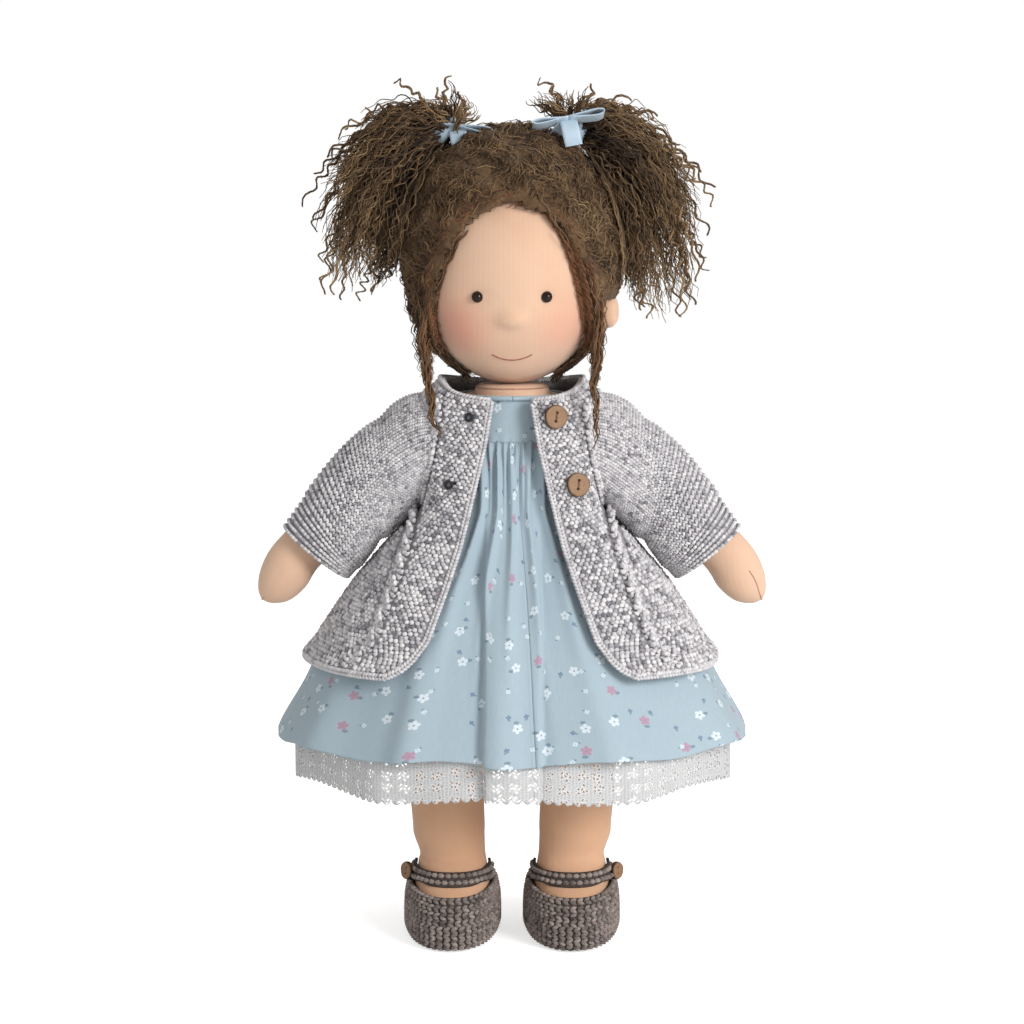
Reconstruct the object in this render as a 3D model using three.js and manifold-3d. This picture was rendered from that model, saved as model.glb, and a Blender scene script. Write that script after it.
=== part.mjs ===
import * as THREE from 'three';
import { mergeVertices } from 'three/addons/utils/BufferGeometryUtils.js';
import Module from 'manifold-3d';

const wasm = await Module();
wasm.setup();

// A standing cloth doll in knitted and sewn clothes, in millimetres. The soles stand on z = 0, the face looks
// along -Y and the doll's own right arm is on the -X side.

// Clearances and cloth
const seat = 0.35;
const jerseyEase = 0.4;
const cottonThickness = 1.1;
const knitThickness = 2.6;
const crochetThickness = 2.8;
const knitEase = 0.8;
const overrun = 30;
const wallRoom = 0.7;

// Trunk
const trunkBottom = 106;
const trunkTop = 257.5;
const trunkHalfWidth = 37.5;
const trunkHalfDepth = 24;
const trunkSectionShares = [
  [0, 0.45, 0.5], [0.04, 0.85, 0.95], [0.11, 1.06, 1.2], [0.22, 1.11, 1.25], [0.38, 1.07, 1.27],
  [0.55, 1, 1.14], [0.66, 1, 1.05], [0.78, 1, 1], [0.86, 0.98, 0.95], [0.93, 0.86, 0.88],
  [0.97, 0.68, 0.84], [1, 0.56, 0.81],
];

// Legs and feet
const hipHeight = 114;
const hipSpread = 32;
const hipLeanRoom = 1.4;
const hipBackShare = 1.25;
const footSpread = 28.5;
const thighRadius = 16.5;
const calfRadius = 16;
const ankleRadius = 15.7;
const footHalfWidth = 19.3;
const footReach = 41.5;
const heelReach = 16.5;
const footRoundness = 2.2;
const instepHeight = 34;
const calfShare = 0.45;
const thighCrownShares = [0.3, 0.55, 0.8];
const soleThickness = 3.2;
const footSectionShares = [
  [0, 0.87, 0.8, 0.8], [0.08, 0.965, 0.94, 0.94], [0.24, 1, 1, 1], [0.44, 0.93, 0.985, 1],
  [0.6, 0.77, 0.93, 0.985], [0.74, 0.59, 0.88, 0.97], [0.88, 0.46, 0.84, 0.96],
];

// Shoes
const soleRoundingShares = [[0, 0], [0.35, 0.66], [1, 1]];
const soleEdgeProud = 1.4;
const soleRounding = 3;
const vampHeight = 20.5;
const shoeSideHeight = 25;
const heelHeight = 27;
const strapBottom = 27.5;
const strapTop = 33;
const strapThickness = 2.2;
const strapReachDeg = 102;
const strapTurnShares = [0.45, 0.85];
const shoeButtonRadius = 3.7;
const shoeButtonThickness = 2.6;
const shoeButtonHeight = 28.6;
const shoeButtonForward = 3;
const shoeButtonShares = [[0, 0], [0.8, 0], [1, 0.4], [0.7, 0.9], [0, 1]];

// Arms and hands
const shoulderHeight = 231.5;
const upperArmRadius = 14;
const wristRadius = 11.5;
const handRadius = 12.2;
const handTipX = 118.5;
const handTipZ = 159.5;
const armDepthShare = 0.94;
const wristAcrossShare = 0.68;
const wristUpShare = 0.58;
const handTipRadius = 0.6;
// Each row: share of the way across to the wrist, share of the way down, radius from upper arm to wrist, and
// share of the arm's slant.
const armShares = [
  [0, 0, 0, 0], [0.12, 0.04, 0, 0.25], [0.36, 0.27, 0, 0.85], [0.7, 0.64, 0.5, 1], [1, 1, 1, 1],
];
// Each row: share of the way across from the wrist to the tip, share of the way down, and radius.
const handShares = [[0.4, 0.42, 1], [0.7, 0.74, 0.8], [0.92, 0.93, 0.38]];

// Sleeves
const sleeveRootRadius = 25.5;
const sleeveRootDepth = 4.5;
const cuffInnerX = 76.7;
const cuffInnerZ = 169.6;
const cuffOuterX = 108.6;
const cuffOuterZ = 195;
const cuffHalfDepth = 18.5;
const shoulderCrownX = 66;
const shoulderCrownZ = 256;
const sleeveFoldDepth = 1.6;
const sleeveFoldTurns = 9;
const sleeveRowShares = [0, 0.14, 0.32, 0.52, 0.7, 0.86, 1];

// Neck and head: a rise is a height above the neck's top
const neckSeatDepth = 5.5;
const neckPivotHeight = trunkTop - neckSeatDepth;
const neckRadius = 18;
const neckStemHeight = 10.2;
const neckTop = neckPivotHeight + neckStemHeight;
const neckTieRadius = 0.7;
const neckTiltDeg = 6;
const headHalfWidth = 43.5;
const headHalfDepth = 43.5;
const headTopRise = 108.8;
const headTop = neckTop + headTopRise;
const headCentreRise = 51.8;
const headCentreHeight = neckTop + headCentreRise;
const cheekFullness = 1.6;
const cheekSpread = 24;
const cheekRise = 23.8;
const cheekHeight = neckTop + cheekRise;
const cheekSize = 15;
const noseRadius = 3.9;
const noseProud = 1.7;
const noseRise = 31.8;
const noseHeight = neckTop + noseRise;
const eyeRadius = 2.65;
const eyeSpread = 15.6;
const eyeRise = 41.5;
const eyeHeight = neckTop + eyeRise;
const eyeProud = 1.5;
const mouthHalfWidth = 9.6;
const mouthRise = 12.4;
const mouthHeight = neckTop + mouthRise;
const mouthDip = 3;
const mouthThreadRadius = 0.5;
const mouthSteps = 6;
const earRise = 34.8;
const earHeight = neckTop + earRise;
const earHalfHeight = 8;
const earHalfDepth = 5;
const earProud = 4.6;
const earRowShare = 0.75;
const earRoomShare = 3;

// Hair: its rises are above the neck's top too
const hairTopRise = 121.8;
const hairTop = neckTop + hairTopRise;
const hairHalfWidth = 52.5;
const hairHalfDepth = 51.5;
const hairCentreRise = 59.8;
const hairCentreHeight = neckTop + hairCentreRise;
const hairSetBack = 2;
const hairlineRise = 84.8;
const hairlineHeight = neckTop + hairlineRise;
const hairlineHalfWidth = 37;
const faceOpeningRise = 37.8;
const faceOpeningHeight = neckTop + faceOpeningRise;
const faceOpeningDepth = 11;
const napeRise = 8.8;
const napeHeight = neckTop + napeRise;
const lockTopRise = 29.8;
const lockTop = neckTop + lockTopRise;
const lockBottomRise = 5.3;
const lockBottom = neckTop + lockBottomRise;
const lockTopX = 39;
const lockTopY = 26;
const lockBottomX = 38;
const lockBottomY = 31;
const lockSwell = 2;
const lockRadius = 3.6;
const lockTipRadius = 1.4;
const bunchBaseX = 30;
const bunchBaseRise = 105.8;
const bunchBaseZ = neckTop + bunchBaseRise;
const bunchRadius = 25;
const bunchReach = 77;
const bunchCrownRise = 123.8;
const bunchCrownHeight = neckTop + bunchCrownRise;
const bunchTipRise = 33.8;
const bunchTipHeight = neckTop + bunchTipRise;
const rightBunchShare = 0.88;
// Each row: share of the way out, share of the rise to the crown, share of the drop from there to the tip.
const bunchPathShares = [[0, 0, 0], [0.24, 0.66, 0], [0.56, 1, 0], [0.86, 1, 0.11], [1, 1, 0.38], [1, 1, 0.7],
  [0.97, 1, 1]];
const bunchRadiusShares = [[0, 0.27], [0.1, 0.3], [0.24, 0.62], [0.42, 0.94], [0.6, 1.02], [0.78, 0.84],
  [0.91, 0.54], [1, 0.16]];
const bunchTiePlaceShare = 0.13;

// Ribbons
const ribbonWidth = 8;
const ribbonThickness = 1;
const ribbonTieRadius = 8.6;
const bowLoopLength = 23;
const bowLoopHeight = 7;
const bowLoopPullShare = 0.4;
const bowLoopRiseDeg = 20;
const bowTailLength = 15;
const bowTailLeanDeg = 28;
const bowTailSpreadDeg = 26;

// Dress
const yokeSeamHeight = 236.7;
const necklineHalfWidth = 25;
const necklineHalfDepth = 22.3;
const necklineDrop = 0.9;
const necklineHeight = trunkTop - necklineDrop;
const bindingRadius = 1.3;
const skirtHem = 97;
const skirtFoldDepth = 5;
const skirtGatherDepth = 2.4;
const skirtFoldCount = 12;
const skirtFoldShift = 0.9;
const skirtFoldStart = 6;

// Petticoat
const petticoatWaist = 199;
const petticoatBorderTop = 101;
const petticoatHem = 77.5;
const petticoatFoldDepth = 2.6;
const petticoatFoldCount = 8;
const petticoatRoom = 0.8;
const elasticHeight = 6;
const elasticThickness = 1.1;
const scallopCount = 32;
const scallopDepth = 3.2;

// Cardigan
const cardiganHem = 134;
const cardiganHemHalfWidth = 97.5;
const cardiganHemHalfDepth = 73;
const skirtHemHalfWidth = 111;
const skirtHemHalfDepth = 84;
const cardiganCollarRise = 6;
const cardiganNeckTop = trunkTop + cardiganCollarRise;
const cardiganNeckHalfWidth = 34;
const cardiganNeckHalfDepth = 26;
const cardiganFrontDrop = 2.5;
const cardiganNeckFront = trunkTop - cardiganFrontDrop;
const cardiganBackRise = 3;
const cardiganNeckBack = trunkTop + cardiganBackRise;
const cardiganChestHalfDepth = 35;
const cardiganArmpitHalfDepth = 42;
const cuffLevelHalfDepth = 56;
const shoulderDepthShare = 0.35;
const sleeveClearShare = 0.93;
const hemRoundness = 2.15;
const cardiganHemRoundness = 2.2;
const cuffLevelRoundness = 2.4;
const armpitRoundness = 3;
const chestRoundness = 3.4;
const shoulderRoundness = 2.6;
const frontOpeningTop = 10;
const frontOpeningHem = 57;
const openingShares = [[0, 1], [0.025, 0.86], [0.06, 0.76], [0.13, 0.62], [0.3, 0.45], [0.46, 0.31],
  [0.64, 0.19], [0.83, 0.075], [1, 0]];
const cardiganRowShares = [0, 0.04, 0.12, 0.275, 0.42, 0.55, 0.7, 0.86, 1];
const bandWidth = 16;
const bandProud = 0.4;
const neckbandRadius = 1.9;

// Wooden buttons
const buttonRadius = 5.6;
const buttonThickness = 2.2;
const buttonDish = 0.5;
const buttonBaseShare = 0.9;
const buttonWaistShare = 0.4;
const buttonRimShares = [0.94, 0.78, 0.6];
const buttonHoleRadius = 0.75;
const buttonHoleSpread = 1.75;
const threadRadius = 0.42;
const upperButtonX = 19.8;
const upperButtonDrop = 6.5;
const lowerButtonX = 29.3;
const lowerButtonDrop = 37;
const buttonPlaces = [
  { name: 'upper', x: upperButtonX, z: cardiganNeckFront - upperButtonDrop },
  { name: 'lower', x: lowerButtonX, z: cardiganNeckFront - lowerButtonDrop },
];
const buttonholeLength = 3.5;
const buttonholeWidth = 2.4;

// Facets
const clothSteps = 48;
const headSteps = 26;
const roundSteps = 24;
const bodySteps = 20;
const smallSteps = 12;
const cordSides = 6;
const poleShare = 0.03;

// Colours and finishes
const finish = (color, roughness) => new THREE.MeshStandardMaterial({ color, roughness, metalness: 0 });
const finishes = {
  jersey: finish(0xe8c3a4, 0.9),
  hair: finish(0x54402c, 0.85),
  knit: finish(0xb9b5b5, 0.95),
  dress: finish(0xb4cbd6, 0.85),
  petticoat: finish(0xeeebe6, 0.9),
  crochet: finish(0x7b706c, 0.95),
  wood: finish(0xb58757, 0.6),
  thread: finish(0xe2d2b4, 0.8),
  ribbon: finish(0xb6cfe2, 0.6),
  bead: finish(0x1d120e, 0.1),
  lip: finish(0x8a3f35, 0.9),
  elastic: finish(0xf2f0ec, 0.9),
};

const doll = new THREE.Group();

function add(name, geometry, material) {
  const mesh = new THREE.Mesh(geometry, material);
  mesh.name = name;
  doll.add(mesh);
  return mesh;
}

const lerp = THREE.MathUtils.lerp;
const smooth = (value, low, high) => THREE.MathUtils.smoothstep(value, low, high);

// A value read from a table of [height, values...] rows, in straight steps between the rows.
function readTable(rows, height) {
  const upper = Math.max(1, rows.findIndex((row) => row[0] >= height));
  const index = height >= rows.at(-1)[0] ? rows.length - 1 : upper;
  const [below, above] = [rows[index - 1], rows[index]];
  const share = THREE.MathUtils.clamp((height - below[0]) / (above[0] - below[0]), 0, 1);
  return below.map((value, k) => lerp(value, above[k], share));
}

// A closed body from points and faces, turned so that its faces look outward.
function closedBody(points, faces) {
  let volume = 0;
  for (const [a, b, c] of faces) {
    volume += points[a].dot(new THREE.Vector3().crossVectors(points[b], points[c]));
  }
  const geometry = new THREE.BufferGeometry();
  geometry.setAttribute('position', new THREE.Float32BufferAttribute(points.flatMap((p) => p.toArray()), 3));
  geometry.setIndex(faces.flatMap(([a, b, c]) => (volume < 0 ? [a, c, b] : [a, b, c])));
  return geometry;
}

const quad = (a, b, c, d) => [[a, b, c], [a, c, d]];

// A solid through closed rings of equal count, with a fan over each end.
function ringBody(rings) {
  const count = rings[0].length;
  const points = rings.flat();
  const faces = [];
  for (let r = 0; r + 1 < rings.length; r += 1) {
    for (let i = 0; i < count; i += 1) {
      const next = (i + 1) % count;
      faces.push(...quad(r * count + i, r * count + next, (r + 1) * count + next, (r + 1) * count + i));
    }
  }
  const lastStart = (rings.length - 1) * count;
  for (const [ring, start, turned] of [[rings[0], 0, true], [rings.at(-1), lastStart, false]]) {
    const middle = ring.reduce((sum, p) => sum.add(p), new THREE.Vector3()).divideScalar(count);
    points.push(middle);
    for (let i = 0; i < count; i += 1) {
      const next = (i + 1) % count;
      const pair = turned ? [start + next, start + i] : [start + i, start + next];
      faces.push([...pair, points.length - 1]);
    }
  }
  return closedBody(points, faces);
}

// A wall between an outer and an inner grid of points, closed round its rims. A round wall joins its last
// column to its first.
function wallBody(outer, inner, round) {
  const rows = outer.length;
  const columns = outer[0].length;
  const points = [...outer.flat(), ...inner.flat()];
  const offset = rows * columns;
  const last = round ? columns : columns - 1;
  const faces = [];
  const at = (side, r, c) => side * offset + r * columns + (c % columns);
  for (let r = 0; r + 1 < rows; r += 1) {
    for (let c = 0; c < last; c += 1) {
      faces.push(...quad(at(0, r, c), at(0, r, c + 1), at(0, r + 1, c + 1), at(0, r + 1, c)));
      faces.push(...quad(at(1, r, c), at(1, r + 1, c), at(1, r + 1, c + 1), at(1, r, c + 1)));
    }
  }
  for (let c = 0; c < last; c += 1) {
    faces.push(...quad(at(0, 0, c), at(1, 0, c), at(1, 0, c + 1), at(0, 0, c + 1)));
    const top = rows - 1;
    faces.push(...quad(at(0, top, c), at(0, top, c + 1), at(1, top, c + 1), at(1, top, c)));
  }
  if (!round) {
    for (let r = 0; r + 1 < rows; r += 1) {
      faces.push(...quad(at(0, r, 0), at(0, r + 1, 0), at(1, r + 1, 0), at(1, r, 0)));
      const end = columns - 1;
      faces.push(...quad(at(0, r, end), at(1, r, end), at(1, r + 1, end), at(0, r + 1, end)));
    }
  }
  return closedBody(points, faces);
}

// Solids that can be cut and joined, and the way back to a geometry.
function solidOf(geometry) {
  const bare = geometry.clone();
  bare.deleteAttribute('normal');
  bare.deleteAttribute('uv');
  const merged = mergeVertices(bare);
  return new wasm.Manifold(new wasm.Mesh({
    numProp: 3,
    vertProperties: new Float32Array(merged.attributes.position.array),
    triVerts: new Uint32Array(merged.index.array),
  }));
}

function geometryOf(solid) {
  const mesh = solid.getMesh();
  const geometry = new THREE.BufferGeometry();
  geometry.setAttribute('position', new THREE.Float32BufferAttribute(mesh.vertProperties, mesh.numProp));
  geometry.setIndex(Array.from(mesh.triVerts));
  return geometry;
}

const moved = (geometry, x, y, z) => geometry.clone().translate(x, y, z);
const block = (width, depth, height, x, y, z) =>
  solidOf(moved(new THREE.BoxGeometry(width, depth, height), x, y, z));
const rodAlongX = (radius, length, x, y, z) =>
  solidOf(moved(new THREE.CylinderGeometry(radius, radius, length, roundSteps).rotateZ(Math.PI / 2),
    x, y, z));

// A ring in the level plane at height z: half-width a, half-depth b and roundness, where 2 is an ellipse and
// more is squarer. Angle 0 faces the front.
function levelPoint(angle, a, b, z, roundness = 2, centreX = 0, back = b) {
  const s = Math.sin(angle);
  const c = Math.cos(angle);
  const power = 2 / roundness;
  const reach = c > 0 ? b : back;
  return new THREE.Vector3(
    centreX + a * Math.sign(s) * Math.abs(s) ** power,
    -reach * Math.sign(c) * Math.abs(c) ** power,
    z,
  );
}

const turns = (count, make) => Array.from({ length: count }, (_, i) => make((2 * Math.PI * i) / count, i));
const steps = (count, make) => Array.from({ length: count + 1 }, (_, i) => make(i / count, i));

// A round rod of changing radius along a curve, its ends closed by fans.
function taperedRod(curve, radiusAt, rows, count) {
  const frames = curve.computeFrenetFrames(rows, false);
  return ringBody(steps(rows, (share, i) => {
    const centre = curve.getPointAt(share);
    const radius = radiusAt(share);
    return turns(count, (angle) => centre.clone()
      .addScaledVector(frames.normals[i], radius * Math.cos(angle))
      .addScaledVector(frames.binormals[i], radius * Math.sin(angle)));
  }));
}

// Trunk: stuffed cloth, round at the bottom, drawn in at the neck
function trunkSection(z) {
  const rows = trunkSectionShares;
  const [, widthShare, depthShare] = readTable(rows, (z - trunkBottom) / (trunkTop - trunkBottom));
  return { a: trunkHalfWidth * widthShare, b: trunkHalfDepth * depthShare };
}

function trunkLayer(from, to, rows, room) {
  return ringBody(steps(rows, (share) => {
    const z = lerp(from, to, share);
    const { a, b } = trunkSection(z);
    return turns(bodySteps, (angle) => levelPoint(angle, a + room, b + room, z));
  }));
}

const neckSocket = solidOf(moved(new THREE.SphereGeometry(neckRadius + seat, bodySteps, bodySteps / 2)
  .rotateX(Math.PI / 2), 0, 0, neckPivotHeight));
const neckFlare = overrun * Math.tan(THREE.MathUtils.degToRad(neckTiltDeg));
const neckBore = solidOf(moved(
  new THREE.CylinderGeometry(neckRadius + seat + neckFlare, neckRadius + seat, overrun, roundSteps)
    .rotateX(Math.PI / 2), 0, 0, neckPivotHeight + overrun / 2));

// Each leg's rounded head turns in a hollow under the trunk, and swings up in front of it.
const hipRoom = thighRadius + seat;
const crotchHalfWidth = hipSpread - thighRadius - hipLeanRoom;
function hipHollow(side) {
  const width = overrun * 2;
  const x = side * (crotchHalfWidth + width / 2);
  const below = hipHeight - trunkBottom + overrun;
  const front = block(width, overrun * 2, hipRoom + below, x, -overrun, hipHeight + (hipRoom - below) / 2);
  const backReach = hipRoom * hipBackShare;
  const behind = block(width, backReach + overrun, below,
    x, (backReach - overrun) / 2, hipHeight - below / 2);
  return rodAlongX(hipRoom, width, x, 0, hipHeight).add(front).add(behind);
}

const trunkRows = trunkSectionShares.map(([share]) => lerp(trunkBottom, trunkTop, share));
let trunk = solidOf(ringBody(trunkRows.map((z) => {
  const { a, b } = trunkSection(z);
  return turns(bodySteps, (angle) => levelPoint(angle, a, b, z));
})));
trunk = trunk.subtract(hipHollow(-1)).subtract(hipHollow(1)).subtract(neckSocket).subtract(neckBore);
add('torso', geometryOf(trunk), finishes.jersey);

// Neck: a stuffed stem with a ball end that sits in the shoulders, and the thread tied round it
const neckStemProfile = [
  ...steps(cordSides, (share) => {
    const angle = -Math.PI / 2 + (share * Math.PI) / 2;
    return new THREE.Vector2(neckRadius * Math.cos(angle), neckPivotHeight + neckRadius * Math.sin(angle));
  }),
  new THREE.Vector2(neckRadius, neckTop),
  new THREE.Vector2(0, neckTop),
];
neckStemProfile[0].x = 0;
const stem = (profile) => new THREE.LatheGeometry(profile, bodySteps).rotateX(Math.PI / 2);
add('neck', geometryOf(solidOf(stem(neckStemProfile))), finishes.jersey);

const neckTieHeight = neckTop - neckTieRadius - seat;
const neckTieRing = new THREE.TorusGeometry(neckRadius + jerseyEase + neckTieRadius, neckTieRadius,
  cordSides, bodySteps);
add('neck_tie', moved(neckTieRing, 0, 0, neckTieHeight), finishes.thread);

// Head: a firm stuffed ball, fuller at the cheeks and the chin, with a small nose under the cloth
const headBottom = neckTop + seat;
const headCentre = new THREE.Vector3(0, 0, headCentreHeight);
function headPoint(direction, room = 0) {
  const up = direction.z > 0 ? headTop - headCentreHeight : headCentreHeight - headBottom + seat;
  const radius = 1 / Math.hypot(direction.x / headHalfWidth, direction.y / headHalfDepth, direction.z / up);
  const point = direction.clone().multiplyScalar(radius).add(headCentre);
  for (const side of [-1, 1]) {
    const away = Math.hypot(point.x - side * cheekSpread, point.z - cheekHeight) / cheekSize;
    if (direction.y < 0) {
      point.addScaledVector(direction, cheekFullness * Math.exp(-away * away));
    }
  }
  return point.addScaledVector(direction, room);
}

// The point of the face at a given x and z, found along the line of sight from the front.
function facePoint(x, z, room = 0) {
  let low = 0;
  let high = headHalfDepth * 2;
  for (let i = 0; i < clothSteps; i += 1) {
    const y = (low + high) / 2;
    const point = new THREE.Vector3(x, -y, z);
    const direction = point.clone().sub(headCentre).normalize();
    const surface = headPoint(direction, room).distanceTo(headCentre);
    if (point.distanceTo(headCentre) < surface) low = y;
    else high = y;
  }
  return new THREE.Vector3(x, -low, z);
}

function headBall(room) {
  const rings = steps(headSteps / 2, (share) => {
    const polar = Math.PI * lerp(poleShare, 1 - poleShare, share);
    return turns(headSteps, (angle) => headPoint(new THREE.Vector3(
      Math.sin(polar) * Math.sin(angle), -Math.sin(polar) * Math.cos(angle), -Math.cos(polar),
    ), room));
  });
  return solidOf(ringBody(rings));
}

const ball = (radius, centre, count = smallSteps) =>
  solidOf(moved(new THREE.SphereGeometry(radius, count, count / 2), centre.x, centre.y, centre.z));

const eyeCentre = (side) => facePoint(side * eyeSpread, eyeHeight, eyeProud - eyeRadius);
const noseCentre = facePoint(0, noseHeight, noseProud - noseRadius);
let head = headBall(0);
head = head.add(ball(noseRadius, noseCentre));
for (const side of [-1, 1]) {
  head = head.subtract(ball(eyeRadius + seat, eyeCentre(side)));
}
const belowHead = block(headHalfWidth * 2, headHalfDepth * 2, overrun, 0, 0, headBottom - overrun / 2);
add('head', geometryOf(head.subtract(belowHead)), finishes.jersey);

for (const [side, name] of [[-1, 'left'], [1, 'right']]) {
  const eye = eyeCentre(side);
  const bead = new THREE.SphereGeometry(eyeRadius, smallSteps, smallSteps / 2);
  add(`eye_${name}`, moved(bead, eye.x, eye.y, eye.z), finishes.bead);
}

// Mouth: one line of stitches that follows the face
const mouthPoints = steps(mouthSteps, (share) => {
  const x = lerp(-mouthHalfWidth, mouthHalfWidth, share);
  const z = mouthHeight + mouthDip * (x / mouthHalfWidth) ** 2;
  return facePoint(x, z, mouthThreadRadius + seat);
});
add('mouth_stitch', taperedRod(new THREE.CatmullRomCurve3(mouthPoints), () => mouthThreadRadius,
  mouthSteps, cordSides), finishes.lip);

// Ears: small sewn crescents against the sides of the head
const headRoom = headBall(seat);
for (const [side, name] of [[-1, 'left'], [1, 'right']]) {
  const sideways = new THREE.Vector3(side * headHalfWidth, 0, earHeight - headCentreHeight);
  const root = headPoint(sideways.normalize());
  const ear = new THREE.SphereGeometry(1, smallSteps, smallSteps * earRowShare)
    .scale(earProud, earHalfDepth, earHalfHeight)
    .translate(root.x, root.y, root.z);
  add(`ear_${name}`, geometryOf(solidOf(ear).subtract(headRoom)), finishes.jersey);
}

// Hair: a thick cap sewn over the head, open at the face
function hairOuter(room) {
  const height = hairTop - hairCentreHeight;
  return solidOf(new THREE.SphereGeometry(1, headSteps, headSteps / 2).rotateX(Math.PI / 2)
    .scale(hairHalfWidth + room, hairHalfDepth + room, height + room)
    .translate(0, hairSetBack, hairCentreHeight));
}

function faceOpening() {
  const outline = new THREE.CylinderGeometry(1, 1, overrun * 2, bodySteps)
    .scale(hairlineHalfWidth, 1, hairlineHeight - faceOpeningHeight)
    .translate(0, -overrun - faceOpeningDepth, faceOpeningHeight);
  return solidOf(outline);
}

const wide = hairHalfWidth * 3;
let hair = hairOuter(0).subtract(headRoom).subtract(faceOpening());
hair = hair.subtract(block(wide, wide, wide, 0, 0, napeHeight - wide / 2));
for (const side of [-1, 1]) {
  const earSpace = new THREE.SphereGeometry(1, smallSteps, smallSteps / 2)
    .scale(earProud * earRoomShare, earHalfDepth + wallRoom, earHalfHeight + wallRoom)
    .translate(side * headHalfWidth, 0, earHeight);
  hair = hair.subtract(solidOf(earSpace));
}
add('hair_cap', geometryOf(hair), finishes.hair);

// Locks: a loose strand hangs before each ear
const hairRoom = hairOuter(seat);
for (const [side, name] of [[-1, 'left'], [1, 'right']]) {
  const top = new THREE.Vector3(side * lockTopX, -lockTopY, lockTop);
  const low = new THREE.Vector3(side * lockBottomX, -lockBottomY, lockBottom);
  const middle = top.clone().lerp(low, 0.5).add(new THREE.Vector3(side * lockSwell, -lockSwell, 0));
  const strand = taperedRod(new THREE.CatmullRomCurve3([top, middle, low]),
    (share) => lerp(lockRadius, lockTipRadius, share), cordSides, cordSides + 2);
  const outside = solidOf(strand).subtract(headRoom).subtract(hairRoom).decompose();
  const lock = outside.reduce((best, piece) => (piece.volume() > best.volume() ? piece : best));
  add(`side_lock_${name}`, geometryOf(lock), finishes.hair);
}

// Bunches: the hair gathered on each side of the crown, and the ribbon tied round each
for (const [side, name, size] of [[-1, 'left', 1], [1, 'right', rightBunchShare]]) {
  const reach = lerp(bunchBaseX, bunchReach, size);
  const crown = lerp(bunchBaseZ, bunchCrownHeight, size);
  const curve = new THREE.CatmullRomCurve3(bunchPathShares.map(([out, rise, drop]) => new THREE.Vector3(
    side * lerp(bunchBaseX, reach, out),
    hairSetBack,
    lerp(bunchBaseZ, crown, rise) - (crown - bunchTipHeight) * drop,
  )));
  const bunchForm = (room) => solidOf(taperedRod(curve,
    (share) => bunchRadius * size * readTable(bunchRadiusShares, share)[1] + room,
    smallSteps, smallSteps + 2));
  const bunch = bunchForm(0);
  add(`bunch_${name}`, geometryOf(bunch.subtract(hairRoom)), finishes.hair);

  const tiePlace = curve.getPointAt(bunchTiePlaceShare);
  const along = curve.getTangentAt(bunchTiePlaceShare);
  const outer = ribbonTieRadius + ribbonThickness;
  const band = new THREE.LatheGeometry([
    new THREE.Vector2(ribbonTieRadius, -ribbonWidth / 4), new THREE.Vector2(outer, -ribbonWidth / 4),
    new THREE.Vector2(outer, ribbonWidth / 4), new THREE.Vector2(ribbonTieRadius, ribbonWidth / 4),
    new THREE.Vector2(ribbonTieRadius, -ribbonWidth / 4),
  ], smallSteps);
  band.applyQuaternion(new THREE.Quaternion().setFromUnitVectors(new THREE.Vector3(0, 1, 0), along));
  band.translate(...tiePlace.toArray());
  let ribbon = solidOf(band);
  const knot = new THREE.Vector3(tiePlace.x, tiePlace.y - outer, tiePlace.z);
  const pull = bowLoopLength * bowLoopPullShare;
  const inner = bowLoopLength - ribbonThickness;
  const rise = bowLoopHeight - ribbonThickness;
  const start = ribbonThickness * 2;
  for (const way of [-1, 1]) {
    const loop = new THREE.Shape();
    loop.moveTo(0, 0);
    loop.bezierCurveTo(pull, bowLoopHeight, bowLoopLength, bowLoopHeight, bowLoopLength, 0);
    loop.bezierCurveTo(bowLoopLength, -bowLoopHeight, pull, -bowLoopHeight, 0, 0);
    const hole = new THREE.Path();
    hole.moveTo(start, 0);
    hole.bezierCurveTo(pull, -rise, inner, -rise, inner, 0);
    hole.bezierCurveTo(inner, rise, pull, rise, start, 0);
    loop.holes.push(hole);
    const shape = new THREE.ExtrudeGeometry(loop,
      { depth: ribbonWidth, bevelEnabled: false, curveSegments: 4 });
    shape.rotateX(Math.PI / 2);
    if (way < 0) shape.rotateZ(Math.PI);
    shape.rotateY(-side * THREE.MathUtils.degToRad(bowLoopRiseDeg));
    const tail = new THREE.BoxGeometry(ribbonWidth, ribbonThickness, bowTailLength);
    tail.translate(0, 0, -bowTailLength / 2);
    tail.rotateX(-THREE.MathUtils.degToRad(bowTailLeanDeg));
    tail.rotateY(way * THREE.MathUtils.degToRad(bowTailSpreadDeg));
    for (const geometry of [shape, tail]) {
      ribbon = ribbon.add(solidOf(geometry.translate(...knot.toArray())));
    }
  }
  ribbon = ribbon.subtract(hairRoom).subtract(bunchForm(seat));
  const pieces = ribbon.decompose();
  const largest = pieces.reduce((best, piece) => (piece.volume() > best.volume() ? piece : best));
  add(`ribbon_${name}`, geometryOf(largest), finishes.ribbon);
}

// Sleeves and armholes: a sleeve's ring at the armhole is a circle about the shoulder's axis
const armholeX = trunkHalfWidth + jerseyEase + cottonThickness + knitEase + knitThickness + seat;
const armpitHeight = shoulderHeight - sleeveRootRadius;
const sleeveSlope = (cuffInnerX - armholeX) / (armpitHeight - cuffInnerZ);
const sleeveCrown = new THREE.QuadraticBezierCurve(
  new THREE.Vector2(armholeX, shoulderHeight + sleeveRootRadius),
  new THREE.Vector2(shoulderCrownX, shoulderCrownZ),
  new THREE.Vector2(cuffOuterX, cuffOuterZ),
);

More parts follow.
